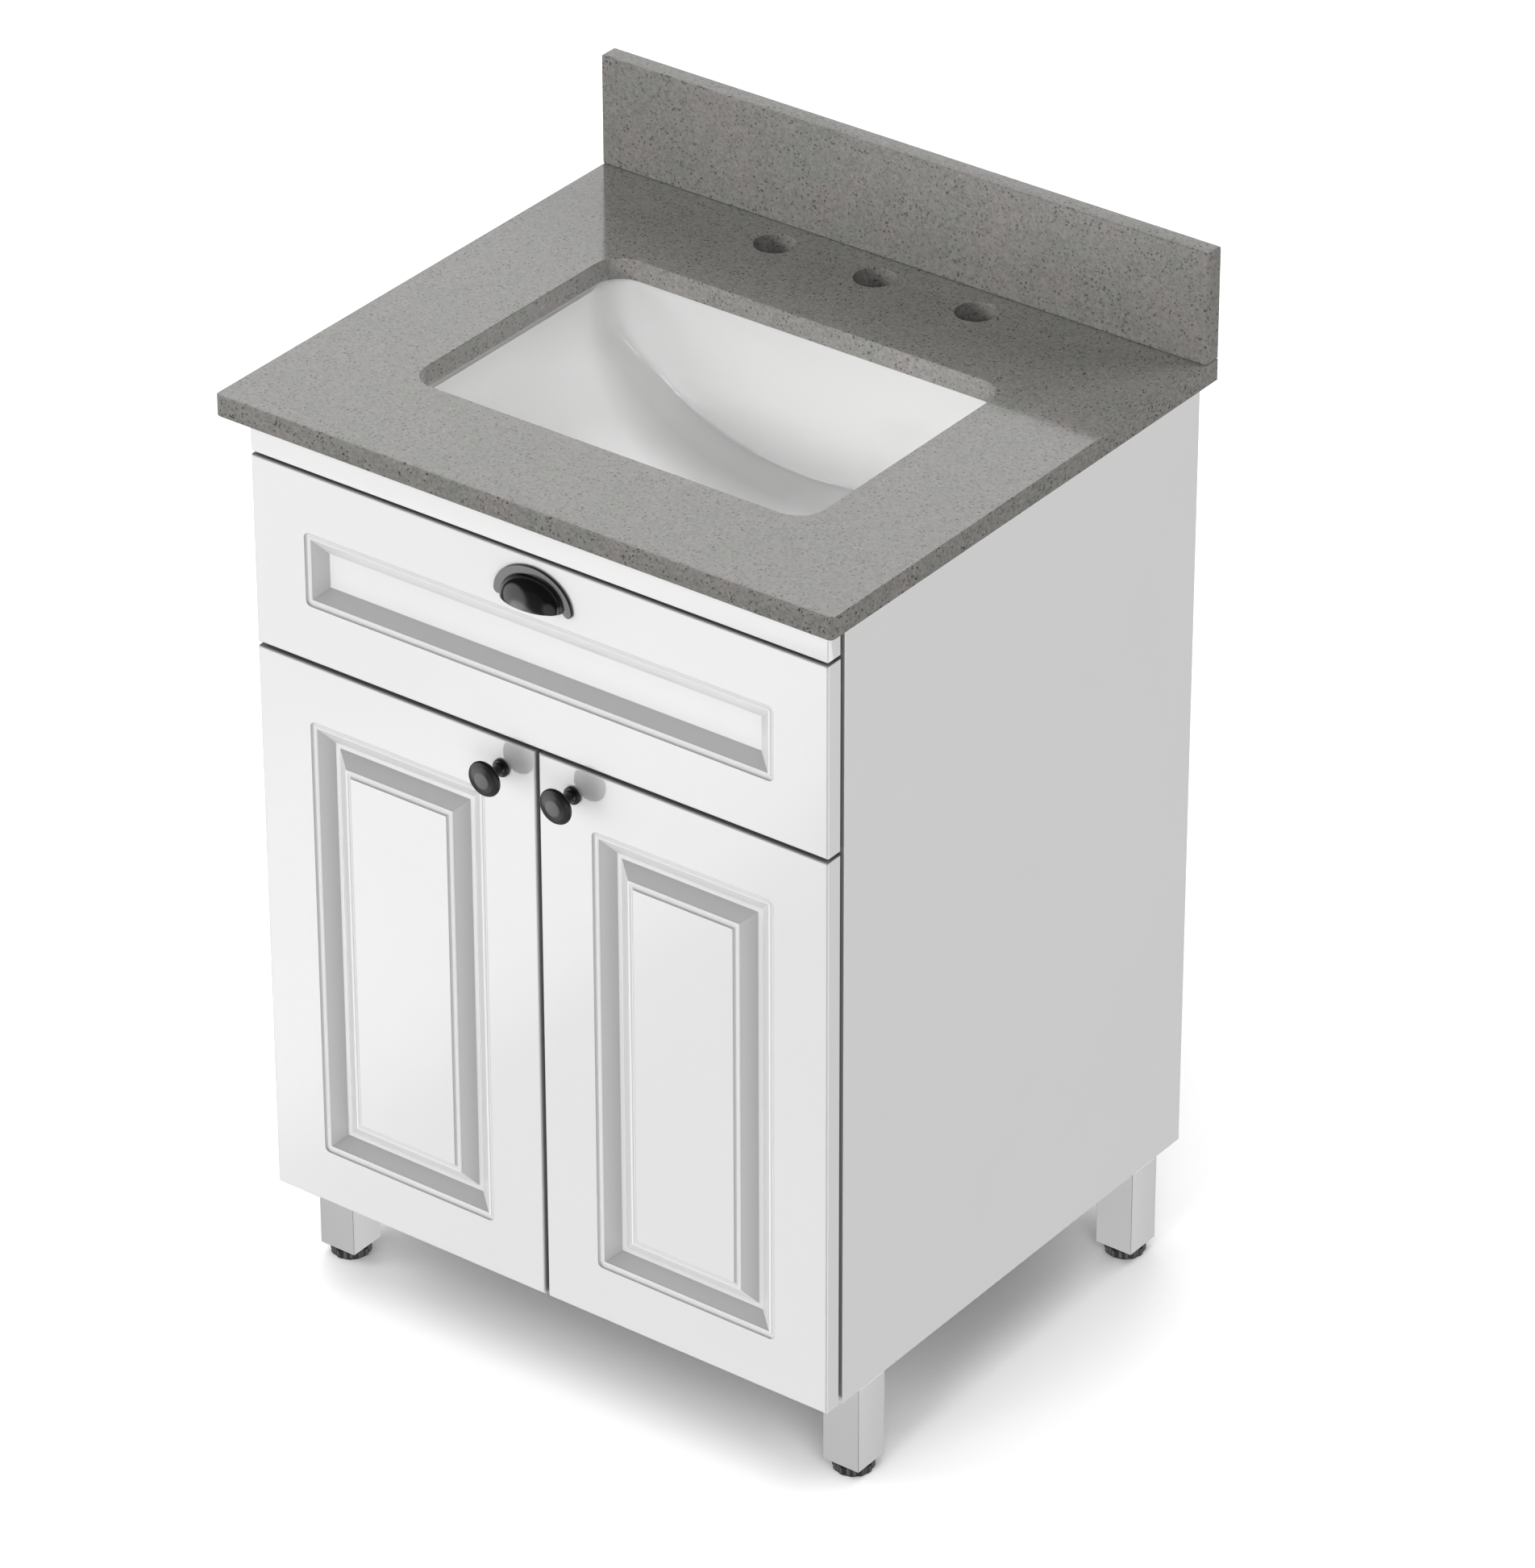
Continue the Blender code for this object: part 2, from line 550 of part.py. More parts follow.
# ---------------------------------------------------------------- carcass
def build_carcass():
    """Side panels, bottom, rails and the fascia under the stone."""
    for side, sign in (("left", -1), ("right", 1)):
        x_span = sorted((sign * INNER_HALF, sign * CABINET_HALF))
        add_board("side_panel_" + side, x_span, (CARCASS_FRONT, CABINET_BACK),
                  (CARCASS_BOTTOM, UNDERSIDE - GAP), WHITE)
    inner = INNER_HALF - GAP
    across = (-inner, inner)
    top = UNDERSIDE - GAP
    floor = CARCASS_BOTTOM + BOARD
    back = (CABINET_BACK - BOARD, CABINET_BACK)
    add_board("bottom_panel", across, (CARCASS_FRONT, CABINET_BACK), (CARCASS_BOTTOM, floor))
    add_board("back_rail_lower", across, back, (floor + GAP, floor + 0.100))
    add_board("back_rail_upper", across, back, (top - 0.100, top))
    middle = (DOOR_TOP + DRAWER_BOTTOM) / 2
    add_board("divider_rail", across, (CARCASS_FRONT + GAP, CARCASS_FRONT + 0.070),
              (middle - BOARD / 2, middle + BOARD / 2))
    add_board("front_stretcher", across, (FRONT_BACK + GAP, FRONT_BACK + GAP + BOARD),
              (top - 0.058, top))
    add_board("fascia", (-CABINET_HALF, CABINET_HALF), (FRONT_FACE, FRONT_BACK),
              (FASCIA_BOTTOM, top), WHITE, 0.0010)


# ---------------------------------------------------------------- legs and feet
def build_leg(name, x, setback):
    """Square leg, hollow from the top, with a thick bottom bored for the foot's stem."""
    top = CARCASS_BOTTOM - PLATE_THICK - 2 * GAP
    half = LEG_SIZE / 2
    place = Vector((x, y_at(setback), 0.0))
    bm = box_mesh((-half, -half, LEG_BOTTOM), (half, half, top))
    leg = add_object("leg_" + name, bm, ALUMINIUM, place)
    bevel = leg.modifiers.new("eased_edges", "BEVEL")
    bevel.width = 0.0007
    bevel.segments = 1
    hollow = half - 0.0018
    floor = LEG_BOTTOM + 0.022
    tool = box_mesh(place + Vector((-hollow, -hollow, floor)),
                    place + Vector((hollow, hollow, top + 0.005)))
    cut(leg, tool, "cutter_leg_hollow_" + name)
    stem = cylinder_mesh(0.0052, place, place + Vector((0, 0, floor + 0.002)), 16)
    cut(leg, stem, "cutter_leg_bore_" + name)

    outer = abs(x) + half
    x_span = sorted((x / abs(x) * outer, x / abs(x) * (outer - PLATE_SIZE)))
    add_board("leg_plate_" + name, x_span, (setback - PLATE_SIZE / 2, setback + PLATE_SIZE / 2),
              (CARCASS_BOTTOM - GAP - PLATE_THICK, CARCASS_BOTTOM - GAP), ZINC, 0.0)


def build_foot(name, x, setback):
    """Levelling foot: a fluted disc on a stem. Its origin is on its own turning axis."""
    flutes, around = 12, 48
    stem, top = 0.0048, LEG_BOTTOM + 0.030

    def disc(radius, height, depth):
        """A ring whose radius ripples with the flutes."""
        ring = []
        for i in range(around):
            a = 2 * pi * i / around
            r = radius - depth * (0.5 - 0.5 * cos(flutes * a))
            ring.append(bm.verts.new((r * cos(a), r * sin(a), height)))
        return ring

    bm = bmesh.new()
    rings = [disc(FOOT_RADIUS - 0.0030, 0.0, 0.0), disc(FOOT_RADIUS - 0.0012, 0.0012, 0.0008),
             disc(FOOT_RADIUS, 0.0024, 0.0016), disc(FOOT_RADIUS, FOOT_HEIGHT - 0.0012, 0.0016),
             disc(FOOT_RADIUS - 0.0012, FOOT_HEIGHT, 0.0012), disc(stem, FOOT_HEIGHT, 0.0),
             disc(stem, top, 0.0)]
    for first, second in zip(rings, rings[1:]):
        join_rings(bm, first, second)
    bm.faces.new(reversed(rings[0]))
    bm.faces.new(rings[-1])
    add_object("foot_" + name, bm, PLASTIC, (x, y_at(setback), 0.0), radians(50))


def build_supports():
    """Four legs, their plates and their levelling feet."""
    x = CABINET_HALF - LEG_INSET - LEG_SIZE / 2
    for side, sign in (("left", -1), ("right", 1)):
        for end, setback in (("front", FRONT_LEG), ("rear", REAR_LEG)):
            name = end + "_" + side
            build_leg(name, sign * x, setback)
            build_foot(name, sign * x, setback)


# ---------------------------------------------------------------- drawer box and slides
def build_drawer_box():
    """A shallow box under the basin, with a notch at its back for the waste pipe."""
    half = INNER_HALF - SLIDE_WIDTH - 2 * GAP
    inner = half - BOX_WALL - GAP
    start = FRONT_BACK + GAP
    end = start + BOX_DEPTH
    sides = (start + BOX_WALL + GAP, end)
    z_span = (BOX_BOTTOM + BOX_FLOOR + GAP, BOX_TOP)
    pieces = [add_board("drawer_box_front", (-half, half), (start, start + BOX_WALL), z_span,
                        PLYWOOD)]
    for side, sign in (("left", -1), ("right", 1)):
        wall_span = sorted((sign * (half - BOX_WALL), sign * half))
        pieces.append(add_board("drawer_side_" + side, wall_span, sides, z_span, PLYWOOD))
        back = sorted((sign * (NOTCH_HALF + BOX_WALL + GAP), sign * inner))
        pieces.append(add_board("drawer_back_" + side, back, (end - BOX_WALL, end), z_span,
                                PLYWOOD))

    outer = NOTCH_HALF + BOX_WALL
    front = y_at(NOTCH_FRONT - BOX_WALL)
    wall = [(-outer, y_at(end)), (-outer, front), (outer, front), (outer, y_at(end)),
            (NOTCH_HALF, y_at(end)), (NOTCH_HALF, y_at(NOTCH_FRONT)),
            (-NOTCH_HALF, y_at(NOTCH_FRONT)), (-NOTCH_HALF, y_at(end))]
    bm = extrude_outline(wall, z_span[1] - z_span[0])
    pieces.append(add_object("drawer_pipe_notch", bm, PLYWOOD, Vector((0, 0, z_span[0]))))

    bottom = [(-half, y_at(end)), (-half, y_at(start)), (half, y_at(start)), (half, y_at(end))]
    bm = extrude_outline(bottom + wall[4:], BOX_FLOOR)
    pieces.append(add_object("drawer_bottom", bm, PLYWOOD, Vector((0, 0, BOX_BOTTOM))))
    return pieces


def channel(sign, web, reach, half_height, sheet):
    """Outline of a rolled channel in x and z: a web, and two flanges that reach from it."""
    near, far = web, web + sheet if reach > web else web - sheet
    points = [(near, -half_height), (reach, -half_height), (reach, -half_height + sheet),
              (far, -half_height + sheet), (far, half_height - sheet),
              (reach, half_height - sheet), (reach, half_height), (near, half_height)]
    return [(sign * x, z) for x, z in points]


def build_slides(member):
    """One member of both ball-bearing slides: the outer, the middle or the inner."""
    face = INNER_HALF - GAP
    web, reach, half_height = {
        "outer": (face, face - 0.0102, 0.0225),
        "middle": (face - 0.0028, face - 0.0108, 0.0192),
        "inner": (face - SLIDE_WIDTH + GAP, face - 0.0062, 0.0160),
    }[member]
    pieces = []
    for side, sign in (("left", -1), ("right", 1)):
        bm = extrude_outline(channel(sign, web, reach, half_height, SLIDE_SHEET), SLIDE_LENGTH)
        bmesh.ops.rotate(bm, verts=bm.verts, matrix=Matrix.Rotation(pi / 2, 3, "X"))
        end = y_at(CARCASS_FRONT + SLIDE_SETBACK + SLIDE_LENGTH)
        pieces.append(add_object("slide_%s_%s" % (member, side), bm, STEEL,
                                 (0, end, SLIDE_HEIGHT)))
    return pieces


# ---------------------------------------------------------------- cup hinges
def bar_outline(start, end, radius, steps=6):
    """Outline of a flat bar with round ends between two points."""
    ax, ay = start
    bx, by = end
    along = atan2(by - ay, bx - ax)
    points = []
    for (cx, cy), turn in (((bx, by), along - pi / 2), ((ax, ay), along + pi / 2)):
        for i in range(steps + 1):
            a = turn + pi * i / steps
            points.append((cx + radius * cos(a), cy + radius * sin(a)))
    return points


def pin_mesh(place, half_length):
    """An upright hinge pin about a point."""
    reach = Vector((0, 0, half_length))
    return cylinder_mesh(PIN_RADIUS, place - reach, place + reach, 12)


def build_hinge_cup(tag, centre, pivot):
    """Cup with a flange on the door's back, and the pivot pin across its mouth."""
    mouth, wall = CUP_RADIUS - 0.0012, 0.0008
    rim = CUP_RADIUS + CUP_FLANGE
    profile = [(0.0, CUP_DEPTH), (CUP_RADIUS, CUP_DEPTH), (CUP_RADIUS, -GAP), (rim, -GAP),
               (rim, -CUP_LIP), (mouth, -CUP_LIP), (mouth, CUP_DEPTH - wall),
               (0.0, CUP_DEPTH - wall)]
    bm = turn_profile(profile, 24)
    bmesh.ops.rotate(bm, verts=bm.verts, matrix=Matrix.Rotation(pi / 2, 3, "X"))
    cup = add_object("hinge_cup_" + tag, bm, STEEL, centre, radians(35))
    chord = sqrt(mouth ** 2 - (pivot.x - centre.x) ** 2)
    cut(cup, pin_mesh(pivot, chord + GAP), "guide_cup_pin_" + tag, "UNION")
    return cup


def build_hinge_link(tag, fixed, moving):
    """Short link that turns on the arm's pin and carries the cup's pin."""
    outline = bar_outline((0.0, 0.0), (moving.x - fixed.x, moving.y - fixed.y), LINK_RADIUS)
    bm = extrude_outline(outline, 2 * LINK_HALF)
    bmesh.ops.translate(bm, verts=bm.verts, vec=(0, 0, -LINK_HALF))
    link = add_object("hinge_link_" + tag, bm, STEEL, fixed)
    for end, pivot in (("arm", fixed), ("cup", moving)):
        reach = Vector((0, 0, LINK_HALF + 0.002))
        bore = cylinder_mesh(PIN_RADIUS + GAP, pivot - reach, pivot + reach, 16)
        cut(link, bore, "cutter_link_%s_%s" % (end, tag))


def build_hinge_arm(tag, sign, fixed):
    """Arm that runs back from the fixed pivot and rests on the mounting plate."""
    inward = -sign
    nose, reach = ARM_NOSE, LINK_HALF + GAP + ARM_EAR
    from_panel = INNER_HALF - (CABINET_HALF - HINGE_PIVOT_FIXED[0])
    seat = ARM_PLATE + 2 * GAP - from_panel
    outline = [(inward * nose * cos(a), nose * sin(a)) for a in
               [-pi + pi * i / 8 for i in range(9)]]
    outline += [(inward * nose, ARM_LENGTH), (inward * seat, ARM_LENGTH),
                (inward * seat, ARM_LENGTH - ARM_SEAT),
                (-inward * nose, ARM_LENGTH - ARM_SEAT - 0.010)]
    bm = extrude_outline(outline, 2 * reach)
    bmesh.ops.translate(bm, verts=bm.verts, vec=(0, 0, -reach))
    arm = add_object("hinge_arm_" + tag, bm, STEEL, fixed)
    span = Vector((0.010, 0.010, LINK_HALF + GAP))
    room = Vector((0, LINK_RADIUS + 0.0018 - span.y, 0))
    cut(arm, box_mesh(fixed + room - span, fixed + room + span), "cutter_arm_fork_" + tag)
    cut(arm, pin_mesh(fixed, LINK_HALF + GAP + ARM_EAR / 2), "guide_arm_pin_" + tag, "UNION")


def build_hinge_plate(tag, sign, fixed):
    """Cross-shaped mounting plate on the inner face of the side panel."""
    near, far = ARM_LENGTH - 0.044, ARM_LENGTH + 0.004
    start, end = (near + far) / 2 - PLATE_NECK, (near + far) / 2 + PLATE_NECK
    half_outline = [(far, PLATE_BODY), (end, PLATE_BODY), (end, PLATE_WING), (start, PLATE_WING),
                    (start, PLATE_BODY), (near, PLATE_BODY)]
    mirrored = [(along, -height) for along, height in reversed(half_outline)]
    bm = extrude_outline(mirrored + half_outline, ARM_PLATE)
    to_panel = Matrix(((0, 0, 1, 0), (1, 0, 0, 0), (0, 1, 0, 0), (0, 0, 0, 1)))
    bmesh.ops.transform(bm, verts=bm.verts, matrix=to_panel)
    inner = sign * (INNER_HALF - GAP)
    left_side = min(inner, inner - sign * ARM_PLATE)
    add_object("hinge_plate_" + tag, bm, STEEL, (left_side, fixed.y, fixed.z))


def build_hinge(side, sign, level, height):
    """A concealed hinge. Returns its cup, which moves with the door."""
    tag = "%s_%s" % (level, side)
    fixed_in, fixed_back = HINGE_PIVOT_FIXED
    moving_in, moving_back = HINGE_PIVOT_CUP
    fixed = Vector((sign * (CABINET_HALF - fixed_in), y_at(fixed_back), height))
    moving = Vector((sign * (CABINET_HALF - moving_in), y_at(moving_back), height))
    build_hinge_plate(tag, sign, fixed)
    build_hinge_arm(tag, sign, fixed)
    build_hinge_link(tag, fixed, moving)
    centre = Vector((sign * (CABINET_HALF - CUP_INSET), y_at(FRONT_BACK), height))
    return build_hinge_cup(tag, centre, moving)


def clear_scene():
    """Remove every object that the file opened with."""
    for obj in list(bpy.data.objects):
        bpy.data.objects.remove(obj, do_unlink=True)


def hang_on(name, pivot, pieces):
    """Parent pieces to an empty that lies on their joint's axis."""
    empty = bpy.data.objects.new(name, None)
    empty.location = pivot
    bpy.context.scene.collection.objects.link(empty)
    for piece in pieces:
        piece.parent = empty
        piece.location = piece.location - empty.location


def build_drawer():
    """The drawer's front, pull, box and inner slides, on one axis."""
    front = build_front("drawer_front", (2 * CABINET_HALF, DRAWER_TOP - DRAWER_BOTTOM),
                        (STILE, DRAWER_RAIL_BOTTOM, DRAWER_RAIL_TOP), False)
    front.location = (0, y_at(FRONT_FACE), (DRAWER_BOTTOM + DRAWER_TOP) / 2)
    pieces = [front, build_cup_pull()] + build_drawer_box() + build_slides("inner")
    hang_on("drawer_axis", (0, y_at(FRONT_FACE), SLIDE_HEIGHT), pieces)


def build_doors():
    """Both doors with their knobs and cup hinges."""
    for side, sign in (("left", -1), ("right", 1)):
        pieces = [build_door(side, sign), build_knob(side, sign)]
        for level, height in zip(("lower", "upper"), HINGE_HEIGHTS):
            pieces.append(build_hinge(side, sign, level, height))
        pivot = (pieces[0].location.x, pieces[0].location.y, DOOR_BOTTOM)
        hang_on("door_axis_" + side, pivot, pieces)


def build_vanity():
    """Build every piece of the cabinet."""
    build_countertop()
    build_backsplash()
    build_basin()
    build_carcass()
    build_supports()
    build_slides("outer")
    hang_on("middle_slide_axis", (0, y_at(CARCASS_FRONT), SLIDE_HEIGHT), build_slides("middle"))
    build_drawer()
    build_doors()


clear_scene()
build_vanity()
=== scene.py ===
"""Looks of the bathroom vanity cabinet.

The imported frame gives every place. Here the plain pieces get soft edges and procedural
materials, the moulded and turned pieces are drawn again with finer surfaces, and small
fittings are added. Then come a pale floor, studio lights and the camera.
"""

import json
from math import atan2, cos, pi, radians, sin, sqrt

import bmesh
import bpy
from mathutils import Euler, Matrix, Vector

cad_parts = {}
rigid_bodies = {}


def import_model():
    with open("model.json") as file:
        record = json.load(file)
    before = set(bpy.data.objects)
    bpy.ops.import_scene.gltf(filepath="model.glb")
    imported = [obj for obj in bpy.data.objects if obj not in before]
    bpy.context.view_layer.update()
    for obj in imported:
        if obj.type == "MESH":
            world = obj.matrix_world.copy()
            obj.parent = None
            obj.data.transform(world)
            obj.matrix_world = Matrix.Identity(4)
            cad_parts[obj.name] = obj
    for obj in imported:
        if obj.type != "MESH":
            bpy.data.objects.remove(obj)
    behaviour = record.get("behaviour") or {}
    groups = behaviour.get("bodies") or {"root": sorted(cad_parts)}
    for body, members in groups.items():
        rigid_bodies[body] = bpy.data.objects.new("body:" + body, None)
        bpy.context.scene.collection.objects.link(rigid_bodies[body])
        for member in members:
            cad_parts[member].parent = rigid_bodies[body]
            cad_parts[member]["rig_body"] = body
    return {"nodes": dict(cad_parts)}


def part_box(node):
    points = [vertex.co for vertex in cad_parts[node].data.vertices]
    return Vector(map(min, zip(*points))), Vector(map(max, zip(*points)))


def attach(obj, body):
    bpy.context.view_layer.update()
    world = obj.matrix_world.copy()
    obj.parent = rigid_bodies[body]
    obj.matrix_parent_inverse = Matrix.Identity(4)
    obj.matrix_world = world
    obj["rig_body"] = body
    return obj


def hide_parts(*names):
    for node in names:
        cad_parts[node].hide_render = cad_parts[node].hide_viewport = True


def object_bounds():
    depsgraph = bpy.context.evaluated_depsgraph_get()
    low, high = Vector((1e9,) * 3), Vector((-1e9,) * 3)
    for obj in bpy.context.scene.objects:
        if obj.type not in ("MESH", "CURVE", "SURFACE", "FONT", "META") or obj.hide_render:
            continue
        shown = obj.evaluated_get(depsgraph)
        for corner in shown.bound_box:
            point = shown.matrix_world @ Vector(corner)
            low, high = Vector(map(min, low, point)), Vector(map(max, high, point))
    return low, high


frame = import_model()
CAD_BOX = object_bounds()
NODES = frame["nodes"]

SIDES = (("left", -1), ("right", 1))
LEVELS = ("lower", "upper")
LEGS = ("front_left", "front_right", "rear_left", "rear_right")
GAP = 0.0003                 # clearance between pieces that touch

# ---------------------------- camera
CAMERA_PLACE = (3.5073, -4.6368, 3.9644)
CAMERA_AZIMUTH = 36.710
CAMERA_DOWN = 30.974
CAMERA_ROLL = -0.128
CAMERA_LENS = 189.28

# ---------------------------- light
# Every light stands LIGHT_DISTANCE away and faces the cabinet's middle, and falls on one group
# of pieces only. Panels: direction from the cabinet, width, height, watts.
TOP_PANELS = {
    "back_left_panel": ((-0.512, 0.687, 0.515), 3.4, 2.6, 47.9),
    "front_left_high": ((-0.6, -0.6, 0.6), 2.4, 2.2, 140.5),
    "front_right_high": ((0.6, -0.6, 0.6), 2.4, 2.2, 58.4),
    "back_right_high": ((0.6, 0.6, 0.5), 2.2, 2.0, 91.6),
    "front_panel": ((0.0, -1.0, 0.12), 2.2, 2.2, 72.5),
    "right_low_panel": ((0.9, 0.1, -0.3), 2.6, 2.2, 91.3),
    "left_low_panel": ((-0.8, -0.2, -0.5), 2.6, 2.2, 20.8),
    "back_panel": ((-0.35, 1.0, 0.0), 2.6, 2.2, 110.0),
}
BASIN_PANELS = {
    "basin_front": ((0.0, -0.848, 0.53), 1.6, 1.3, 57.3),
    "basin_right": ((0.848, 0.0, 0.53), 1.6, 1.3, 18.6),
    "basin_front_left": ((-0.6, -0.6, 0.53), 1.6, 1.3, 20.5),
    "basin_back_right": ((0.473, 0.473, 0.743), 1.6, 1.3, 19.5),
    "basin_back_left": ((-0.473, 0.473, 0.743), 1.6, 1.3, 143.8),
    "basin_over": ((0.0, 0.407, 0.914), 1.6, 1.3, 41.0),
}
FLOOR_PANELS = {
    "floor_back_left": ((-0.512, 0.687, 0.515), 3.2, 2.4, 50.9),
    "floor_front_left": ((-0.6, -0.6, 0.6), 2.4, 2.2, 62.8),
    "floor_front_right": ((0.7, -0.6, 0.5), 2.4, 2.2, 96.5),
    "floor_front": ((0.0, -1.0, 0.2), 2.4, 2.2, 124.1),
}
# Soft suns: direction from the cabinet, width in degrees, strength.
FLOOR_SUNS = {"floor_overhead": ((0.0, 0.0, 1.0), 60.0, 2.85)}
CABINET_SUNS = {
    "mirrored": ((-0.512, -0.687, -0.515), 38.0, 0.84),
    "front": ((-0.1, -1.0, 0.0), 64.0, 0.12),
    "right_front": ((0.6, -0.8, -0.2), 50.0, 0.52),
    "side_low": ((0.9, 0.25, -0.4), 60.0, 2.24),
    "left_front": ((-0.8, -0.6, -0.1), 60.0, 1.46),
    "steep_front": ((-0.1, -0.6, -1.0), 70.0, 0.53),
    "overhead": ((0.0, 0.0, 1.0), 120.0, 0.11),
    "back": ((-0.35, 1.0, 0.1), 60.0, 1.9),
}
INSIDE_SUNS = {
    "inside_front": ((-0.2, -1.0, 0.35), 70.0, 1.5),
    "inside_overhead": ((0.1, -0.2, 1.0), 100.0, 1.4),
    "inside_right": ((1.0, -0.1, 0.3), 70.0, 0.9),
    "inside_left": ((-1.0, -0.1, 0.2), 70.0, 0.9),
    "inside_back": ((-0.3, 1.0, 0.3), 70.0, 1.2),
}
LEG_SUNS = {
    "legs_front": ((-0.27, -0.86, -0.43), 76.0, 1.85),
    "legs_side": ((0.8, 0.6, -0.15), 60.0, 2.4),
    "legs_back": ((-0.35, 1.0, 0.1), 60.0, 1.6),
}
WORLD_STRENGTH = 0.01
DEEPEST_PAINTED_SHADE = 0.22         # painted shade: what is left of the lacquer's colour deep in a seam
FLOOR_WHITE = 0.86
LIGHT_DISTANCE = 4.2
# Pieces of the cabinet's outside have names that begin with one of these.
OUTSIDE = ("door_", "drawer_front", "fascia", "side_panel_", "knob_", "cup_pull", "foot_")
MIRRORED = "back_left_panel"  # the one panel that shows in the polished stone

# ---------------------------- shapes of the finer pieces
STILE = 0.0524               # plain margins of a door or drawer front: side, bottom, top
DOOR_RAILS = (0.0509, 0.0533)
DRAWER_RAILS = (0.0515, 0.0540)
MOULDING = ((0.0000, 0.0000), (0.0008, 0.0008), (0.0020, 0.0013), (0.0031, 0.0014),
            (0.0040, 0.0011), (0.0062, 0.0013), (0.0067, 0.0018), (0.0183, 0.0096))
RAISED_WIDTH = 0.0406        # the whole moulding of a raised panel
FIELD_START = 0.0205         # where the flat field of the drawer front begins
MOULDING_EASE = 0.00045      # softness of the moulding's own corners
MOULDING_CORNER = 0.0050     # seen from the front, where the moulding turns
EDGE_ROUND = 0.0018          # soft front edges of the doors and the drawer front
BACK_EDGE = 0.0006           # the small bevel of their back edges
PANEL_CORNER = 0.0008        # their corners, seen from the front
CUP_FLANGE = 0.0025          # how far a hinge cup's flange stands past its bore
KNOB_HOLE = 0.0024           # radius of the hole for a knob's screw

RIM_WIDTH = 0.0240
RIM_THICK = 0.0120
RIM_CORNER = 0.0300
BOWL_CORNER = 0.0320
BOWL_FALL = 0.1446           # from the top of the stone to the bowl's lowest point
BOWL_REACH = 0.2010          # half the length of the trough, which is half an ellipse
BOWL_SHOULDER = 0.0260       # depth of the trough's two ends
BOWL_WALL = 0.0090
FOLD = 0.0160                # reach of the soft fold between a wall and the trough
DRAIN_RADIUS = 0.0225
BOSS_RADIUS = 0.0345
DRAIN_SEAT = 0.0160
# The wall's rings: inset across, inset front to back, corner, fall below the rim.
BOWL_RINGS = ((0.000, 0.0000, 0.032, 0.0000), (0.004, 0.0012, 0.034, 0.018),
              (0.009, 0.0026, 0.038, 0.044), (0.015, 0.0044, 0.044, 0.078),
              (0.022, 0.0080, 0.050, 0.112), (0.032, 0.0140, 0.054, 0.150),
              (0.046, 0.0240, 0.052, 0.200))
# Its outside in the same terms: first under the trough, then up the walls.
BOWL_UNDERSIDE = ((0.120, 0.075, 0.050), (0.075, 0.048, 0.055), (0.030, 0.020, 0.060),
                  (0.014, 0.006, 0.052))
BOWL_OUTSIDE = ((0.004, -0.001, 0.048, 0.084), (-0.003, -0.005, 0.044, 0.050))
BEAD_SECTION = ((0.0, -0.0001), (0.0, 0.0002), (0.0022, 0.0002), (0.0016, -0.0009))
BEAD_INSET = -0.0012         # the sealant lies just outside the bowl's edge

# Radius and distance from the door's face, from the screw's end to the front of the knob.
KNOB_PROFILE = ((0.0, 0.0191), (0.0030, 0.0191), (0.0042, 0.0179), (0.0042, 0.0173),
                (0.0020, 0.0173), (0.0020, 0.0), (0.0078, 0.0), (0.0080, -0.0012),
                (0.0074, -0.0024), (0.0056, -0.0030), (0.0046, -0.0050), (0.0044, -0.0110),
                (0.0052, -0.0160), (0.0086, -0.0186), (0.0140, -0.0196), (0.0156, -0.0208),
                (0.0158, -0.0222), (0.0148, -0.0236), (0.0116, -0.0252), (0.0070, -0.0265),
                (0.0, -0.0270))
PULL_RISE = 0.0308           # from the pull's straight lower edge to its top
PULL_FLANGE = 0.0020
PULL_WALL = 0.0016
HOOD_HALF = 0.0302
HOOD_RISE = 0.0236


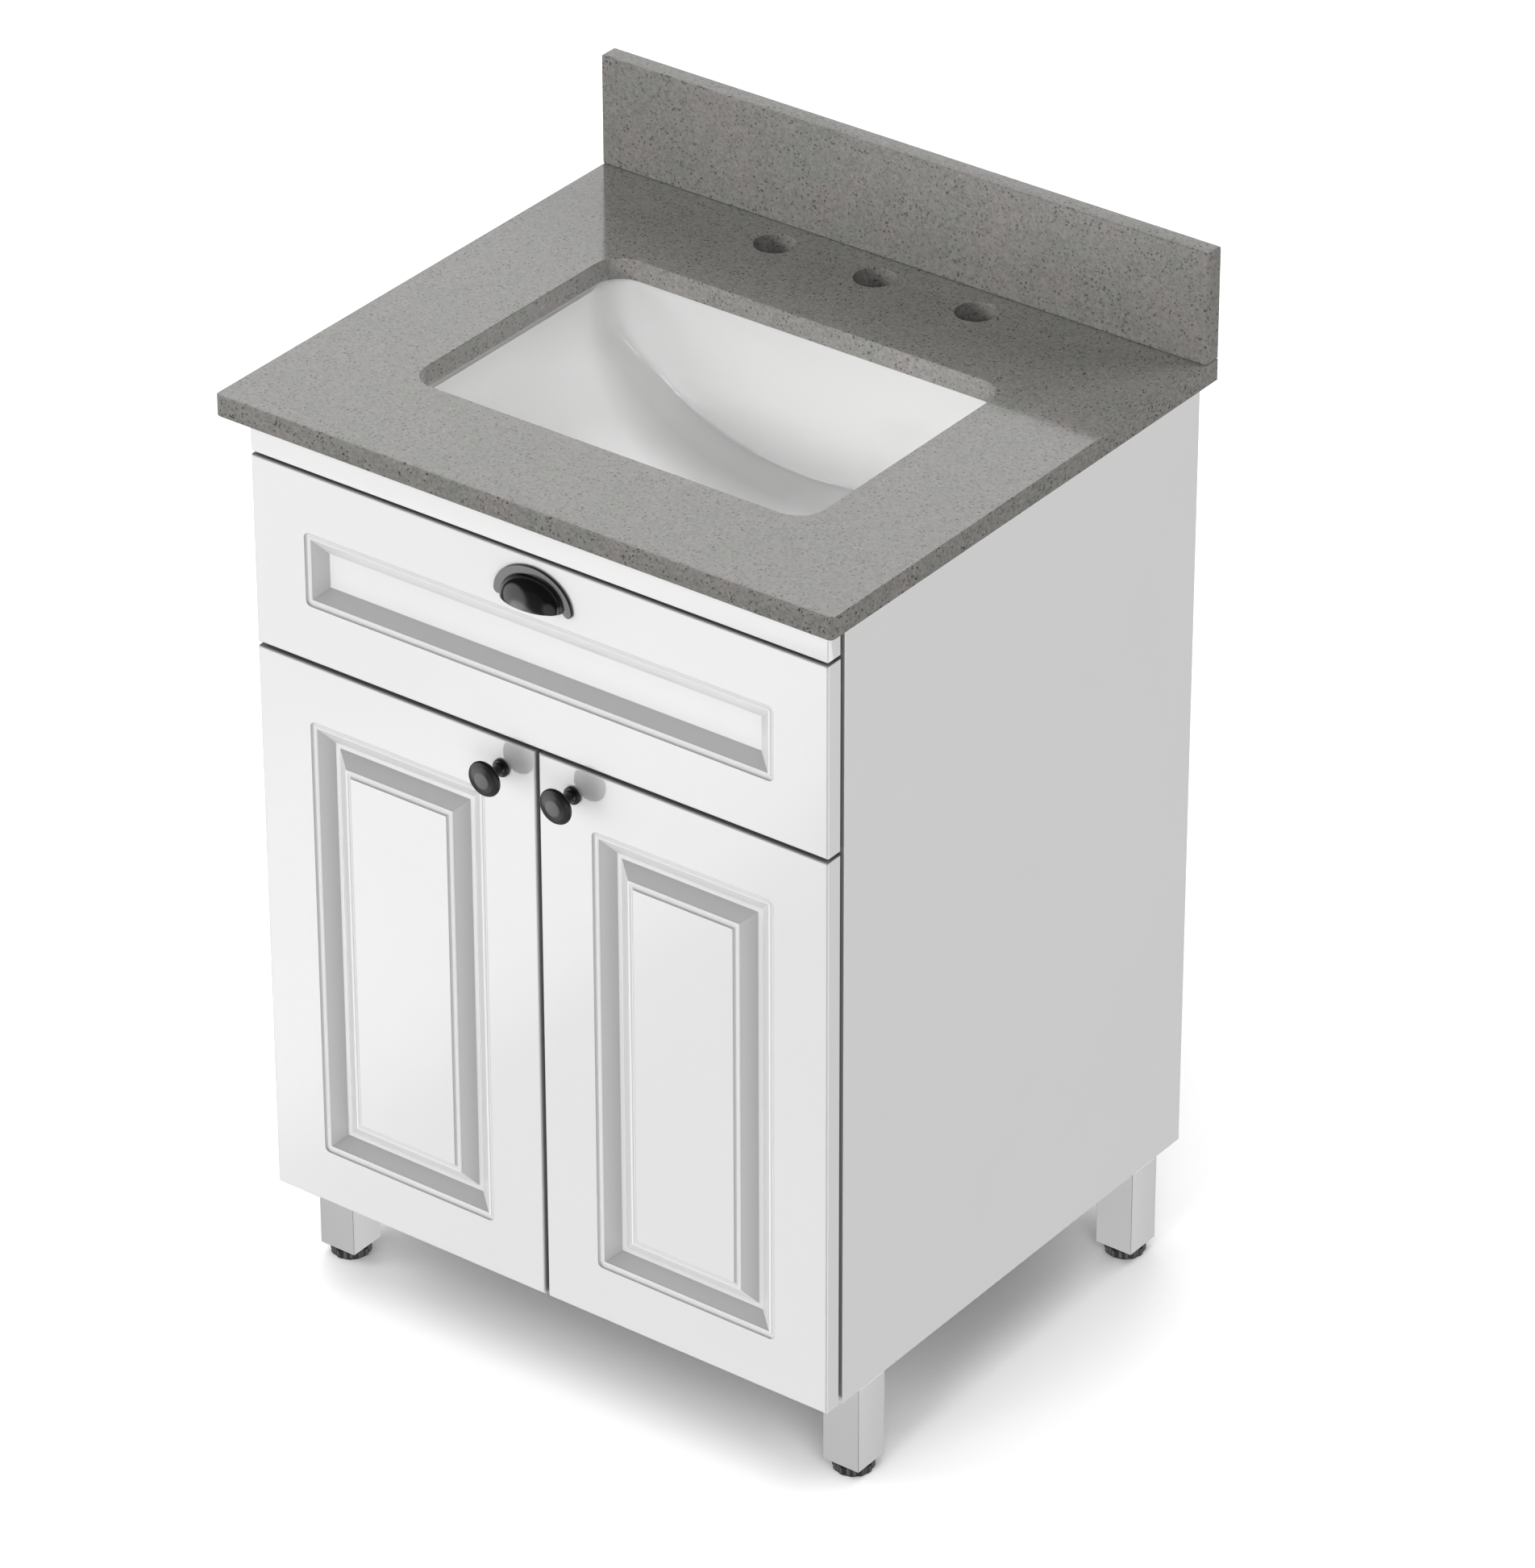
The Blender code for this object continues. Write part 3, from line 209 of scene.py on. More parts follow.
# ---------------------------- materials
class Finish:
    """A material, with short ways to add nodes to it."""

    def __init__(self, name, roughness=0.4, metallic=0.0, ior=1.5):
        self.material = bpy.data.materials.new(name)
        self.material.use_nodes = True
        self.tree = self.material.node_tree
        self.surface = self.tree.nodes["Principled BSDF"]
        self.give("Roughness", roughness)
        self.give("Metallic", metallic)
        self.give("IOR", ior)
        self.place = self.add("ShaderNodeTexCoord").outputs["Object"]

    def give(self, name, value):
        """Set or link an input of the surface shader."""
        self.fill(self.surface.inputs[name], value)

    def fill(self, socket, value):
        """Put a number, a colour or another node's output into a socket."""
        if isinstance(value, bpy.types.NodeSocket):
            self.tree.links.new(value, socket)
        elif socket.type == "RGBA" and len(value) == 3:
            socket.default_value = (*value, 1.0)
        else:
            socket.default_value = value

    def add(self, kind, inputs=(), **settings):
        """A new node. Inputs are (name or number, value) pairs."""
        node = self.tree.nodes.new(kind)
        for name, value in settings.items():
            setattr(node, name, value)
        for key, value in inputs:
            self.fill(node.inputs[key], value)
        return node

    def noise(self, scale, detail=2.0, roughness=0.5, stretch=None, output="Fac"):
        """Soft noise in the piece's own space, stretched along an axis if asked."""
        place = self.place
        if stretch:
            pairs = [("Vector", place), ("Scale", stretch)]
            place = self.add("ShaderNodeMapping", pairs).outputs[0]
        pairs = [("Vector", place), ("Scale", scale), ("Detail", detail), ("Roughness", roughness)]
        return self.add("ShaderNodeTexNoise", pairs).outputs[output]

    def cells(self, scale, place=None, output="Distance"):
        """Cells of a Voronoi pattern."""
        pairs = [("Vector", place or self.place), ("Scale", scale), ("Randomness", 1.0)]
        return self.add("ShaderNodeTexVoronoi", pairs).outputs[output]

    def span(self, value, low, high, start, end):
        """Map a value from one range to another, held at both ends."""
        pairs = [("Value", value), ("From Min", low), ("From Max", high), ("To Min", start),
                 ("To Max", end)]
        return self.add("ShaderNodeMapRange", pairs, clamp=True).outputs[0]

    def maths(self, operation, first, second):
        """Arithmetic on two values."""
        return self.add("ShaderNodeMath", [(0, first), (1, second)], operation=operation).outputs[0]

    def blend(self, amount, first, second, kind="MIX"):
        """Mix two colours."""
        node = self.add("ShaderNodeMix", data_type="RGBA", blend_type=kind)
        for index, value in ((0, amount), (6, first), (7, second)):
            self.fill(node.inputs[index], value)
        return node.outputs[2]

    def rough(self, pattern, low, high):
        """Roughness that follows a pattern, over the range that noise mostly keeps to."""
        self.give("Roughness", self.span(pattern, 0.3, 0.7, low, high))

    def painted_seam_shade(self, reach):
        """Painted shade: a colour factor, darker where other surfaces stand close, as in seams and
        hollows.
        """
        open_share = self.add("ShaderNodeAmbientOcclusion", [("Distance", reach)],
                              samples=8).outputs["AO"]
        return self.span(open_share, 0.0, 1.0, DEEPEST_PAINTED_SHADE, 1.0)

    def bump(self, height, strength, distance):
        """Raise the surface by a height value."""
        pairs = [("Height", height), ("Strength", strength), ("Distance", distance)]
        self.give("Normal", self.add("ShaderNodeBump", pairs).outputs[0])


def stone_finish(name, gloss):
    """Polished grey stone: fine crystals, dark flecks, a few pale glints."""
    finish = Finish(name, ior=1.56)
    warp = finish.noise(420.0, 2.0, output="Color")
    shift = finish.add("ShaderNodeVectorMath", [(0, warp), (1, (0.5, 0.5, 0.5))],
                       operation="SUBTRACT").outputs[0]
    scaled = finish.add("ShaderNodeVectorMath", [(0, shift), (3, 0.0034)],
                        operation="SCALE").outputs[0]
    place = finish.add("ShaderNodeVectorMath", [(0, finish.place), (1, scaled)]).outputs[0]
    cloud = finish.span(finish.noise(26.0, 3.0, 0.6), 0.38, 0.62, 0.0, 1.0)
    colour = finish.blend(cloud, (0.203, 0.203, 0.188), (0.219, 0.208, 0.199))
    crystal = finish.add("ShaderNodeSeparateColor",
                         [(0, finish.cells(430.0, place, "Color"))]).outputs
    shade = finish.span(crystal[0], 0.0, 1.0, 0.84, 1.16)
    colour = finish.blend(1.0, colour, shade, "MULTIPLY")
    grain = finish.span(finish.noise(900.0, 3.0, 0.6), 0.3, 0.7, 0.92, 1.08)
    colour = finish.blend(1.0, colour, grain, "MULTIPLY")
    patches = finish.span(finish.noise(70.0, 2.0), 0.36, 0.58, 0.35, 1.0)
    flecks = finish.span(finish.cells(262.0, place), 0.19, 0.31, 0.85, 0.0)
    flecks = finish.maths("MULTIPLY", flecks, patches)
    colour = finish.blend(flecks, colour, (0.030, 0.028, 0.026))
    small = finish.span(finish.cells(430.0, place), 0.15, 0.27, 0.40, 0.0)
    colour = finish.blend(small, colour, (0.075, 0.072, 0.068))
    glints = finish.span(finish.cells(78.0, place), 0.045, 0.085, 0.55, 0.0)
    colour = finish.blend(glints, colour, (0.36, 0.35, 0.33))
    finish.give("Base Color", colour)
    finish.rough(finish.noise(60.0, 3.0), gloss, gloss + 0.04)
    finish.bump(finish.noise(130.0, 2.0), 0.05, 0.0006)
    return finish.material


def lacquer_finish():
    """Sprayed white lacquer with a faint orange peel, and painted shade in its seams and hollows.
    """
    finish = Finish("white_lacquer", ior=1.52)
    tone = finish.span(finish.noise(7.0, 3.0), 0.3, 0.7, 0.0, 1.0)
    colour = finish.blend(tone, (0.835, 0.835, 0.835), (0.850, 0.849, 0.846))
    # The colour is darkened by ambient occlusion: painted shade in the gaps and the moulding's
    # hollows.
    finish.give("Base Color", finish.blend(1.0, colour, finish.painted_seam_shade(0.018), "MULTIPLY"))
    finish.rough(finish.noise(90.0, 2.0), 0.06, 0.09)
    finish.bump(finish.noise(380.0, 2.0, 0.4), 0.05, 0.0001)
    return finish.material


def board_finish():
    """Melamine-faced board with a fine pressed texture."""
    finish = Finish("white_board", ior=1.5)
    tone = finish.span(finish.noise(60.0, 4.0), 0.3, 0.7, 0.0, 1.0)
    finish.give("Base Color", finish.blend(tone, (0.780, 0.778, 0.770), (0.815, 0.813, 0.806)))
    finish.rough(finish.noise(300.0, 2.0), 0.42, 0.52)
    finish.bump(finish.noise(1400.0, 2.0), 0.25, 0.00015)
    return finish.material


def ceramic_finish():
    """Glazed white ceramic, very slightly wavy."""
    finish = Finish("white_ceramic", ior=1.52)
    tone = finish.span(finish.noise(9.0, 2.0), 0.3, 0.7, 0.0, 1.0)
    finish.give("Base Color", finish.blend(tone, (0.905, 0.905, 0.903), (0.920, 0.920, 0.918)))
    finish.rough(finish.noise(30.0, 2.0), 0.07, 0.11)
    finish.bump(finish.noise(16.0, 1.0), 0.06, 0.0015)
    return finish.material


def black_finish(name, gloss):
    """Black powder-coated metal with a low sheen."""
    finish = Finish(name, ior=1.5)
    tone = finish.span(finish.noise(140.0, 3.0), 0.3, 0.7, 0.0, 1.0)
    finish.give("Base Color", finish.blend(tone, (0.011, 0.011, 0.012), (0.013, 0.013, 0.014)))
    finish.rough(finish.noise(420.0, 2.0), gloss, gloss + 0.04)
    finish.bump(finish.noise(1100.0, 2.0), 0.02, 0.0001)
    return finish.material


def aluminium_finish():
    """Brushed aluminium, its brush marks running up the leg."""
    finish = Finish("brushed_aluminium", metallic=0.35)
    marks = finish.noise(700.0, 3.0, 0.6, (1.0, 1.0, 0.012))
    finish.give("Base Color", finish.blend(marks, (0.52, 0.52, 0.525), (0.58, 0.58, 0.58)))
    finish.rough(marks, 0.30, 0.42)
    finish.bump(marks, 0.25, 0.0001)
    return finish.material


def steel_finish():
    """Nickel- and zinc-plated steel of the hinges, slides and plates."""
    finish = Finish("plated_steel", metallic=0.6)
    tone = finish.noise(220.0, 3.0, 0.6)
    finish.give("Base Color", finish.blend(tone, (0.56, 0.57, 0.59), (0.68, 0.68, 0.69)))
    finish.rough(finish.noise(500.0, 2.0), 0.30, 0.38)
    finish.bump(finish.noise(900.0, 2.0), 0.03, 0.0001)
    return finish.material


def plastic_finish():
    """Black moulded plastic with a fine spark texture."""
    finish = Finish("black_plastic", ior=1.48)
    tone = finish.noise(300.0, 2.0)
    finish.give("Base Color", finish.blend(tone, (0.012, 0.012, 0.012), (0.022, 0.022, 0.022)))
    finish.rough(tone, 0.42, 0.55)
    finish.bump(finish.noise(1500.0, 2.0), 0.3, 0.0001)
    return finish.material


def drawer_finish():
    """Pale birch board with its grain running across the cabinet."""
    finish = Finish("birch_board", ior=1.48)
    rings = finish.noise(34.0, 4.0, 0.6, (0.12, 1.0, 1.0))
    fibres = finish.noise(420.0, 3.0, 0.6, (0.03, 1.0, 1.0))
    colour = finish.blend(finish.span(rings, 0.35, 0.65, 0.0, 1.0), (0.66, 0.55, 0.41),
                          (0.76, 0.66, 0.52))
    shade = finish.span(fibres, 0.3, 0.7, 0.90, 1.06)
    finish.give("Base Color", finish.blend(1.0, colour, shade, "MULTIPLY"))
    finish.rough(fibres, 0.42, 0.56)
    finish.bump(fibres, 0.2, 0.0002)
    return finish.material


def clear_finish(name, tint):
    """Soft, cloudy plastic of the bumpers and the sealant."""
    finish = Finish(name, ior=1.45)
    tone = finish.noise(240.0, 2.0)
    darker = tuple(0.94 * part for part in tint)
    finish.give("Base Color", finish.blend(tone, darker, tint))
    finish.rough(tone, 0.20, 0.30)
    finish.give("Subsurface Weight", 0.3)
    finish.give("Subsurface Radius", (0.002, 0.002, 0.002))
    finish.bump(finish.noise(60.0, 1.0), 0.1, 0.0005)
    return finish.material


FINISHES = {
    "lacquer": lacquer_finish(),
    "board": board_finish(),
    "stone": stone_finish("stone_polished", 0.075),
    "ceramic": ceramic_finish(),
    "black_hardware": black_finish("black_metal", 0.17),
    "aluminium": aluminium_finish(),
    "steel": steel_finish(),
    "foot_plastic": plastic_finish(),
    "drawer_board": drawer_finish(),
}
BUMPER = clear_finish("clear_bumper", (0.66, 0.67, 0.68))
UPSTAND = stone_finish("stone_upstand", 0.36)
KNOB_BLACK = black_finish("black_metal_knobs", 0.30)
SEALANT = clear_finish("white_sealant", (0.78, 0.78, 0.77))


# ---------------------------- soft edges of the frame's pieces
def soften_group():
    """Geometry nodes that weld the frame's mesh and shade its shallow edges smooth."""
    group = bpy.data.node_groups.new("soft_edges", "GeometryNodeTree")
    for side in ("INPUT", "OUTPUT"):
        group.interface.new_socket("Geometry", in_out=side, socket_type="NodeSocketGeometry")
    nodes, links = group.nodes, group.links
    start = nodes.new("NodeGroupInput")
    plain = nodes.new("GeometryNodeRemoveAttribute")
    plain.inputs["Name"].default_value = "custom_normal"
    weld = nodes.new("GeometryNodeMergeByDistance")
    weld.inputs["Distance"].default_value = 0.00001
    angle = nodes.new("GeometryNodeInputMeshEdgeAngle")
    shallow = nodes.new("FunctionNodeCompare")
    shallow.data_type = "FLOAT"
    shallow.operation = "LESS_THAN"
    shallow.inputs["B"].default_value = radians(50)
    edges = nodes.new("GeometryNodeSetShadeSmooth")
    edges.domain = "EDGE"
    faces = nodes.new("GeometryNodeSetShadeSmooth")
    faces.domain = "FACE"
    faces.inputs["Shade Smooth"].default_value = True
    end = nodes.new("NodeGroupOutput")
    links.new(start.outputs[0], plain.inputs["Geometry"])
    links.new(plain.outputs[0], weld.inputs["Geometry"])
    links.new(angle.outputs["Unsigned Angle"], shallow.inputs["A"])
    links.new(weld.outputs[0], edges.inputs["Geometry"])
    links.new(shallow.outputs[0], edges.inputs["Shade Smooth"])
    links.new(edges.outputs[0], faces.inputs["Geometry"])
    links.new(faces.outputs[0], end.inputs[0])
    return group


def weigh_normals(obj):
    """Flat faces keep flat shading next to their soft edges."""
    modifier = obj.modifiers.new("flat_faces", "WEIGHTED_NORMAL")
    modifier.keep_sharp = True
    modifier.weight = 80


def dress_frame():
    """Give each piece of the frame its finish and its soft edges."""
    group = soften_group()
    for node in NODES.values():
        slot = node.data.materials[0].name.split(".")[0]
        node.data.materials[0] = UPSTAND if node.name == "backsplash" else FINISHES[slot]
        modifier = node.modifiers.new("soft_edges", "NODES")
        modifier.node_group = group
        weigh_normals(node)


# ---------------------------- meshes
def join_rings(bm, first, second, closed=True):
    """Faces between two rings of points, either of which may be a single point."""
    count = max(len(first), len(second))
    for i in range(count if closed else count - 1):
        j = (i + 1) % count
        if len(first) == 1:
            bm.faces.new((first[0], second[j], second[i]))
        elif len(second) == 1:
            bm.faces.new((first[i], first[j], second[0]))
        else:
            bm.faces.new((first[i], first[j], second[j], second[i]))


def join_all(bm, rings, loop=False, closed=True):
    """Faces between each ring and the next, and from the last to the first in a loop."""
    for first, second in zip(rings, rings[1:] + rings[:1] if loop else rings[1:]):
        join_rings(bm, first, second, closed)


def ease(points, reach):
    """A line of 2-D points with its inner corners rounded."""
    steps = 3
    points = [Vector(point) for point in points]
    eased = [points[0]]
    for before, corner, after in zip(points, points[1:], points[2:]):
        back, on = before - corner, after - corner
        start = corner + back * min(reach / back.length, 0.45)
        end = corner + on * min(reach / on.length, 0.45)
        for i in range(steps + 1):
            share = i / steps
            eased.append(start.lerp(corner, share).lerp(corner.lerp(end, share), share))
    return eased + [points[-1]]


def turned(profile, segments):
    """A solid of revolution about Z. The profile runs from axis to axis as (radius, z)."""
    bm = bmesh.new()
    turns = [2 * pi * i / segments for i in range(segments)]
    rings = []
    for radius, height in profile:
        if radius < 1e-6:
            rings.append([bm.verts.new((0.0, 0.0, height))])
        else:
            rings.append([bm.verts.new((radius * cos(a), radius * sin(a), height)) for a in turns])
    join_all(bm, rings)
    return bm


def rounded_rectangle(half_x, half_y, radius, steps, cuts=(0, 0)):
    """Points of a rounded rectangle about the origin, anticlockwise."""
    arcs = []
    for quarter, (sx, sy) in enumerate(((1, 1), (-1, 1), (-1, -1), (1, -1))):
        angles = [(quarter + i / steps) * pi / 2 for i in range(steps + 1)]
        centre = Vector((sx * (half_x - radius), sy * (half_y - radius)))
        arcs.append([centre + radius * Vector((cos(a), sin(a))) for a in angles])
    points = []
    for quarter, arc in enumerate(arcs):
        points += arc
        start, end = arc[-1], arcs[(quarter + 1) % 4][0]
        extra = cuts[quarter % 2]
        points += [start.lerp(end, (i + 1) / (extra + 1)) for i in range(extra)]
    return points


def new_object(name, data):
    """An object in the scene, made from a mesh, a light or a camera."""
    made = bpy.data.objects.new(name, data)
    bpy.context.scene.collection.objects.link(made)
    return made


def object_from(bm, name):
    """Turn a bmesh, drawn in place, into an object."""
    mesh = bpy.data.meshes.new(name)
    bm.to_mesh(mesh)
    bm.free()
    return new_object(name, mesh)


def add_piece(name, bm, material, body, stands_for=(), sharp=35.0):
    """Turn a bmesh, drawn in place, into a piece that rides on a body of the frame."""
    bmesh.ops.recalc_face_normals(bm, faces=bm.faces)
    finish_piece(object_from(bm, name), material, body, stands_for, sharp)


def finish_piece(piece, material, body, stands_for=(), sharp=35.0):
    """Shade a piece, and tie it to the frame."""
    mesh = piece.data
    mesh.shade_smooth()
    mesh.set_sharp_from_angle(angle=radians(sharp))
    mesh.materials.clear()
    mesh.materials.append(material)
    weigh_normals(piece)
    if stands_for:
        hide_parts(*stands_for)
    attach(piece, body)


def middle(node):
    """Centre of a node's box."""
    low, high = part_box(node)
    return (low + high) / 2


def body_of(node):
    """The body of the frame that a node belongs to."""
    return NODES[node]["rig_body"]


# ---------------------------- doors and drawer front
def moulding_steps(raised):
    """The moulding's section inwards from the flat frame, as (distance, depth)."""
    if raised:
        other = [(RAISED_WIDTH - step, depth) for step, depth in reversed(MOULDING)]
    else:
        other = [(FIELD_START, MOULDING[-1][1])]
    return ease(list(MOULDING) + other, MOULDING_EASE)


def moulded_front(node, rails, raised):
    """Mesh of a door or a drawer front, face towards -Y, in place."""
    low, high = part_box(node)
    half = (high.x - low.x) / 2
    centre_x = (low.x + high.x) / 2
    bm = bmesh.new()

    def ring(inset_x, bottom, top, corner, y):
        """A rounded rectangle at one depth."""
        middle_z, half_z = (bottom + top) / 2, (top - bottom) / 2
        outline = rounded_rectangle(half - inset_x, half_z, corner, 6)
        return [bm.verts.new((centre_x + x, y, middle_z + z)) for x, z in outline]

    rings = [ring(BACK_EDGE, low.z + BACK_EDGE, high.z - BACK_EDGE, BACK_EDGE, high.y),
             ring(0.0, low.z, high.z, PANEL_CORNER, high.y - BACK_EDGE)]
    for i in range(7):
        a = i * pi / 12
        inset = EDGE_ROUND * (1 - cos(a))
        rings.append(ring(inset, low.z + inset, high.z - inset, PANEL_CORNER + 0.3 * inset,
                          low.y + EDGE_ROUND * (1 - sin(a))))
    bottom, top = rails
    for offset, depth in moulding_steps(raised):
        corner = max(MOULDING_CORNER - offset, 0.0007)
        rings.append(ring(STILE + offset, low.z + bottom + offset, high.z - top - offset,
                          corner, low.y + depth))
    join_all(bm, rings)
    bm.faces.new(reversed(rings[0]))
    bm.faces.new(rings[-1])
    return bm


def rod(start, end, radius):
    """A plain cylinder between two points, used as a cutter."""
    bm = bmesh.new()
    start, end = Vector(start), Vector(end)
    along = end - start
    bmesh.ops.create_cone(bm, cap_ends=True, segments=48, radius1=radius, radius2=radius,
                          depth=along.length)
    turn = Vector((0, 0, 1)).rotation_difference(along).to_matrix().to_4x4()
    place = Matrix.Translation((start + end) / 2)
    bmesh.ops.transform(bm, matrix=place @ turn, verts=bm.verts)
    return bm


def cut_out(piece, cutters):
    """Subtract closed meshes from a piece for good."""
    tools = []
    for i, bm in enumerate(cutters):
        tool = object_from(bm, "cutter_%d" % i)
        modifier = piece.modifiers.new("bore", "BOOLEAN")
        modifier.solver = "EXACT"
        modifier.object = tool
        tools.append(tool)
    graph = bpy.context.evaluated_depsgraph_get()
    drilled = bpy.data.meshes.new_from_object(piece.evaluated_get(graph))
    piece.modifiers.clear()
    piece.data = drilled
    for tool in tools:
        bpy.data.objects.remove(tool)


def build_doors():
    """Moulded doors with bores for their hinge cups and their knobs' screws."""
    past = 0.01
    for side, _ in SIDES:
        node = "door_" + side
        bm = moulded_front(node, DOOR_RAILS, True)
        bmesh.ops.recalc_face_normals(bm, faces=bm.faces)
        door = object_from(bm, node + "_moulded")
        low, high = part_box(node)
        cutters = []
        for level in LEVELS:
            cup_low, cup_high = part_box("hinge_cup_%s_%s" % (level, side))
            centre = (cup_low + cup_high) / 2
            radius = (cup_high.z - cup_low.z) / 2 - CUP_FLANGE + GAP
            cutters.append(rod((centre.x, cup_low.y - GAP, centre.z),
                               (centre.x, high.y + past, centre.z), radius))
        knob = middle("knob_" + side)
        cutters.append(rod((knob.x, low.y - past, knob.z), (knob.x, high.y + past, knob.z),
                           KNOB_HOLE))
        cut_out(door, cutters)
        finish_piece(door, FINISHES["lacquer"], body_of(node), [node])


def build_drawer_front():
    """Moulded drawer front with a flat recessed field."""
    bm = moulded_front("drawer_front", DRAWER_RAILS, False)
    add_piece("drawer_front_moulded", bm, FINISHES["lacquer"], body_of("drawer_front"),
              ["drawer_front"])


# ---------------------------- basin
def smooth_min(a, b, blend):
    """The smaller of two values, rounded where they meet."""
    h = max(blend - abs(a - b), 0.0) / blend
    return min(a, b) - h * h * blend / 4


def trough_depth(x, wall):
    """Depth of the bowl's floor under the top of the stone: half an ellipse along x."""
    share = min(abs(x) / (BOWL_REACH + wall), 1.0)
    return BOWL_SHOULDER + (BOWL_FALL - BOWL_SHOULDER) * sqrt(1 - share ** 2) + wall


def between(rows, steps):
    """Rows of numbers joined by a smooth curve."""
    ends = [rows[0]] + list(rows) + [rows[-1]]
    curve = []
    for a, b, c, d in zip(ends, ends[1:], ends[2:], ends[3:]):
        for i in range(steps):
            t = i / steps
            curve.append([0.5 * (2 * q + (r - p) * t + (2 * p - 5 * q + 4 * r - s) * t * t
                                 + (3 * q - p - 3 * r + s) * t ** 3)
                          for p, q, r, s in zip(a, b, c, d)])
    return curve + [list(rows[-1])]


def build_basin():
    """Undermount basin: flat rim, steep walls, a trough floor and an open drain."""
    low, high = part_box("sink_basin")
    centre = (low + high) / 2
    half_x = (high.x - low.x) / 2 - RIM_WIDTH
    half_y = (high.y - low.y) / 2 - RIM_WIDTH
    stone_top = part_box("countertop")[1].z
    under_rim = stone_top - high.z
    bm = bmesh.new()

    def outline(inset_x, inset_y, corner):
        """The bowl's outline, drawn in by these amounts."""
        return rounded_rectangle(half_x - inset_x, half_y - inset_y, corner, 12, (26, 16))

    def circle(radius):
        """A circle with one point for each point of the outline."""
        angles = [atan2(y / half_y, x / half_x) for x, y in outline(0, 0, BOWL_CORNER)]
        return [Vector((radius * cos(a), radius * sin(a))) for a in angles]

    def level(points, height):
        """A flat ring."""
        return [bm.verts.new((centre.x + x, centre.y + y, height)) for x, y in points]

    def sunk(points, wall_depth, wall, lower_by=0.0):
        """A ring that follows the wall down until it meets the trough."""
        ring = []
        for x, y in points:
            depth = smooth_min(wall_depth, trough_depth(x, wall) + lower_by, FOLD)
            ring.append(bm.verts.new((centre.x + x, centre.y + y, stone_top - depth)))
        return ring

    eased = 0.002
    rings = [level(outline(-RIM_WIDTH, -RIM_WIDTH, RIM_CORNER), high.z - RIM_THICK),
             level(outline(-RIM_WIDTH, -RIM_WIDTH, RIM_CORNER), high.z - eased)]
    for i in (1, 2, 3):
        a = i * pi / 6
        inset = eased * (1 - cos(a)) - RIM_WIDTH
        rings.append(level(outline(inset, inset, RIM_CORNER - eased * (1 - cos(a))),
                           high.z - eased * (1 - sin(a))))
    rings.append(level(outline(-0.0015, -0.0015, BOWL_CORNER + 0.001), high.z))
    rings.append(level(outline(-0.0004, -0.0004, BOWL_CORNER), high.z - 0.0004))
    for *shape, fall in between(BOWL_RINGS, 5)[1:]:
        rings.append(sunk(outline(*shape), under_rim + fall, 0.0))
    foot = outline(*BOWL_RINGS[-1][:3])
    for i in range(1, 12):
        share = i / 12
        points = [outer.lerp(inner, share) for outer, inner in zip(foot, circle(DRAIN_RADIUS))]
        rings.append(sunk(points, stone_top, 0.0, 0.004 * share ** 2))
    floor = stone_top - BOWL_FALL
    seat = floor - DRAIN_SEAT
    funnel = ease(((DRAIN_RADIUS + 0.006, floor - 0.0036), (DRAIN_RADIUS + 0.0015, floor - 0.0042),
                   (DRAIN_RADIUS, floor - 0.0070), (DRAIN_RADIUS, seat)), 0.0015)
    for radius, height in funnel:
        rings.append(level(circle(radius), height))
    rings.append(level(circle(BOSS_RADIUS), seat))
    rings.append(level(circle(BOSS_RADIUS), floor - BOWL_WALL - 0.002))
    for shape in BOWL_UNDERSIDE:
        rings.append(sunk(outline(*shape), stone_top, BOWL_WALL))
    for *shape, fall in BOWL_OUTSIDE:
        rings.append(sunk(outline(*shape), under_rim + fall, BOWL_WALL))
    rings.append(level(outline(-BOWL_WALL, -BOWL_WALL, 0.040), high.z - RIM_THICK))
    join_all(bm, rings, loop=True)
    add_piece("sink_basin_glazed", bm, FINISHES["ceramic"], body_of("sink_basin"),
              ["sink_basin"], 40.0)

    bead = bmesh.new()
    loops = []
    for inset, height in BEAD_SECTION:
        points = outline(inset + BEAD_INSET, inset + BEAD_INSET, BOWL_CORNER)
        loops.append([bead.verts.new((centre.x + x, centre.y + y, high.z + height))
                      for x, y in points])
    join_all(bead, loops, loop=True)
    add_piece("sealant_bead", bead, SEALANT, body_of("sink_basin"), sharp=60.0)


# ---------------------------- knobs, pull and feet
def build_knobs():
    """Mushroom knobs, each with its screw through the door."""
    for side, _ in SIDES:
        node = "knob_" + side
        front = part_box("door_" + side)[0].y
        centre = middle(node)
        bm = turned(ease(KNOB_PROFILE, 0.0009), 64)
        turn = Matrix.Rotation(-pi / 2, 4, "X")
        place = Matrix.Translation((centre.x, front - GAP, centre.z))
        bmesh.ops.transform(bm, matrix=place @ turn, verts=bm.verts)
        add_piece(node + "_turned", bm, KNOB_BLACK, body_of(node),
                  [node], 40.0)


def half_ring(bm, place, radius_x, radius_z, depth, turns=56):
    """Half an ellipse in front of a point, from the right end over the top to the left."""
    angles = [pi * i / turns for i in range(turns + 1)]
    return [bm.verts.new(place + Vector((radius_x * cos(a), depth, radius_z * sin(a))))
            for a in angles]


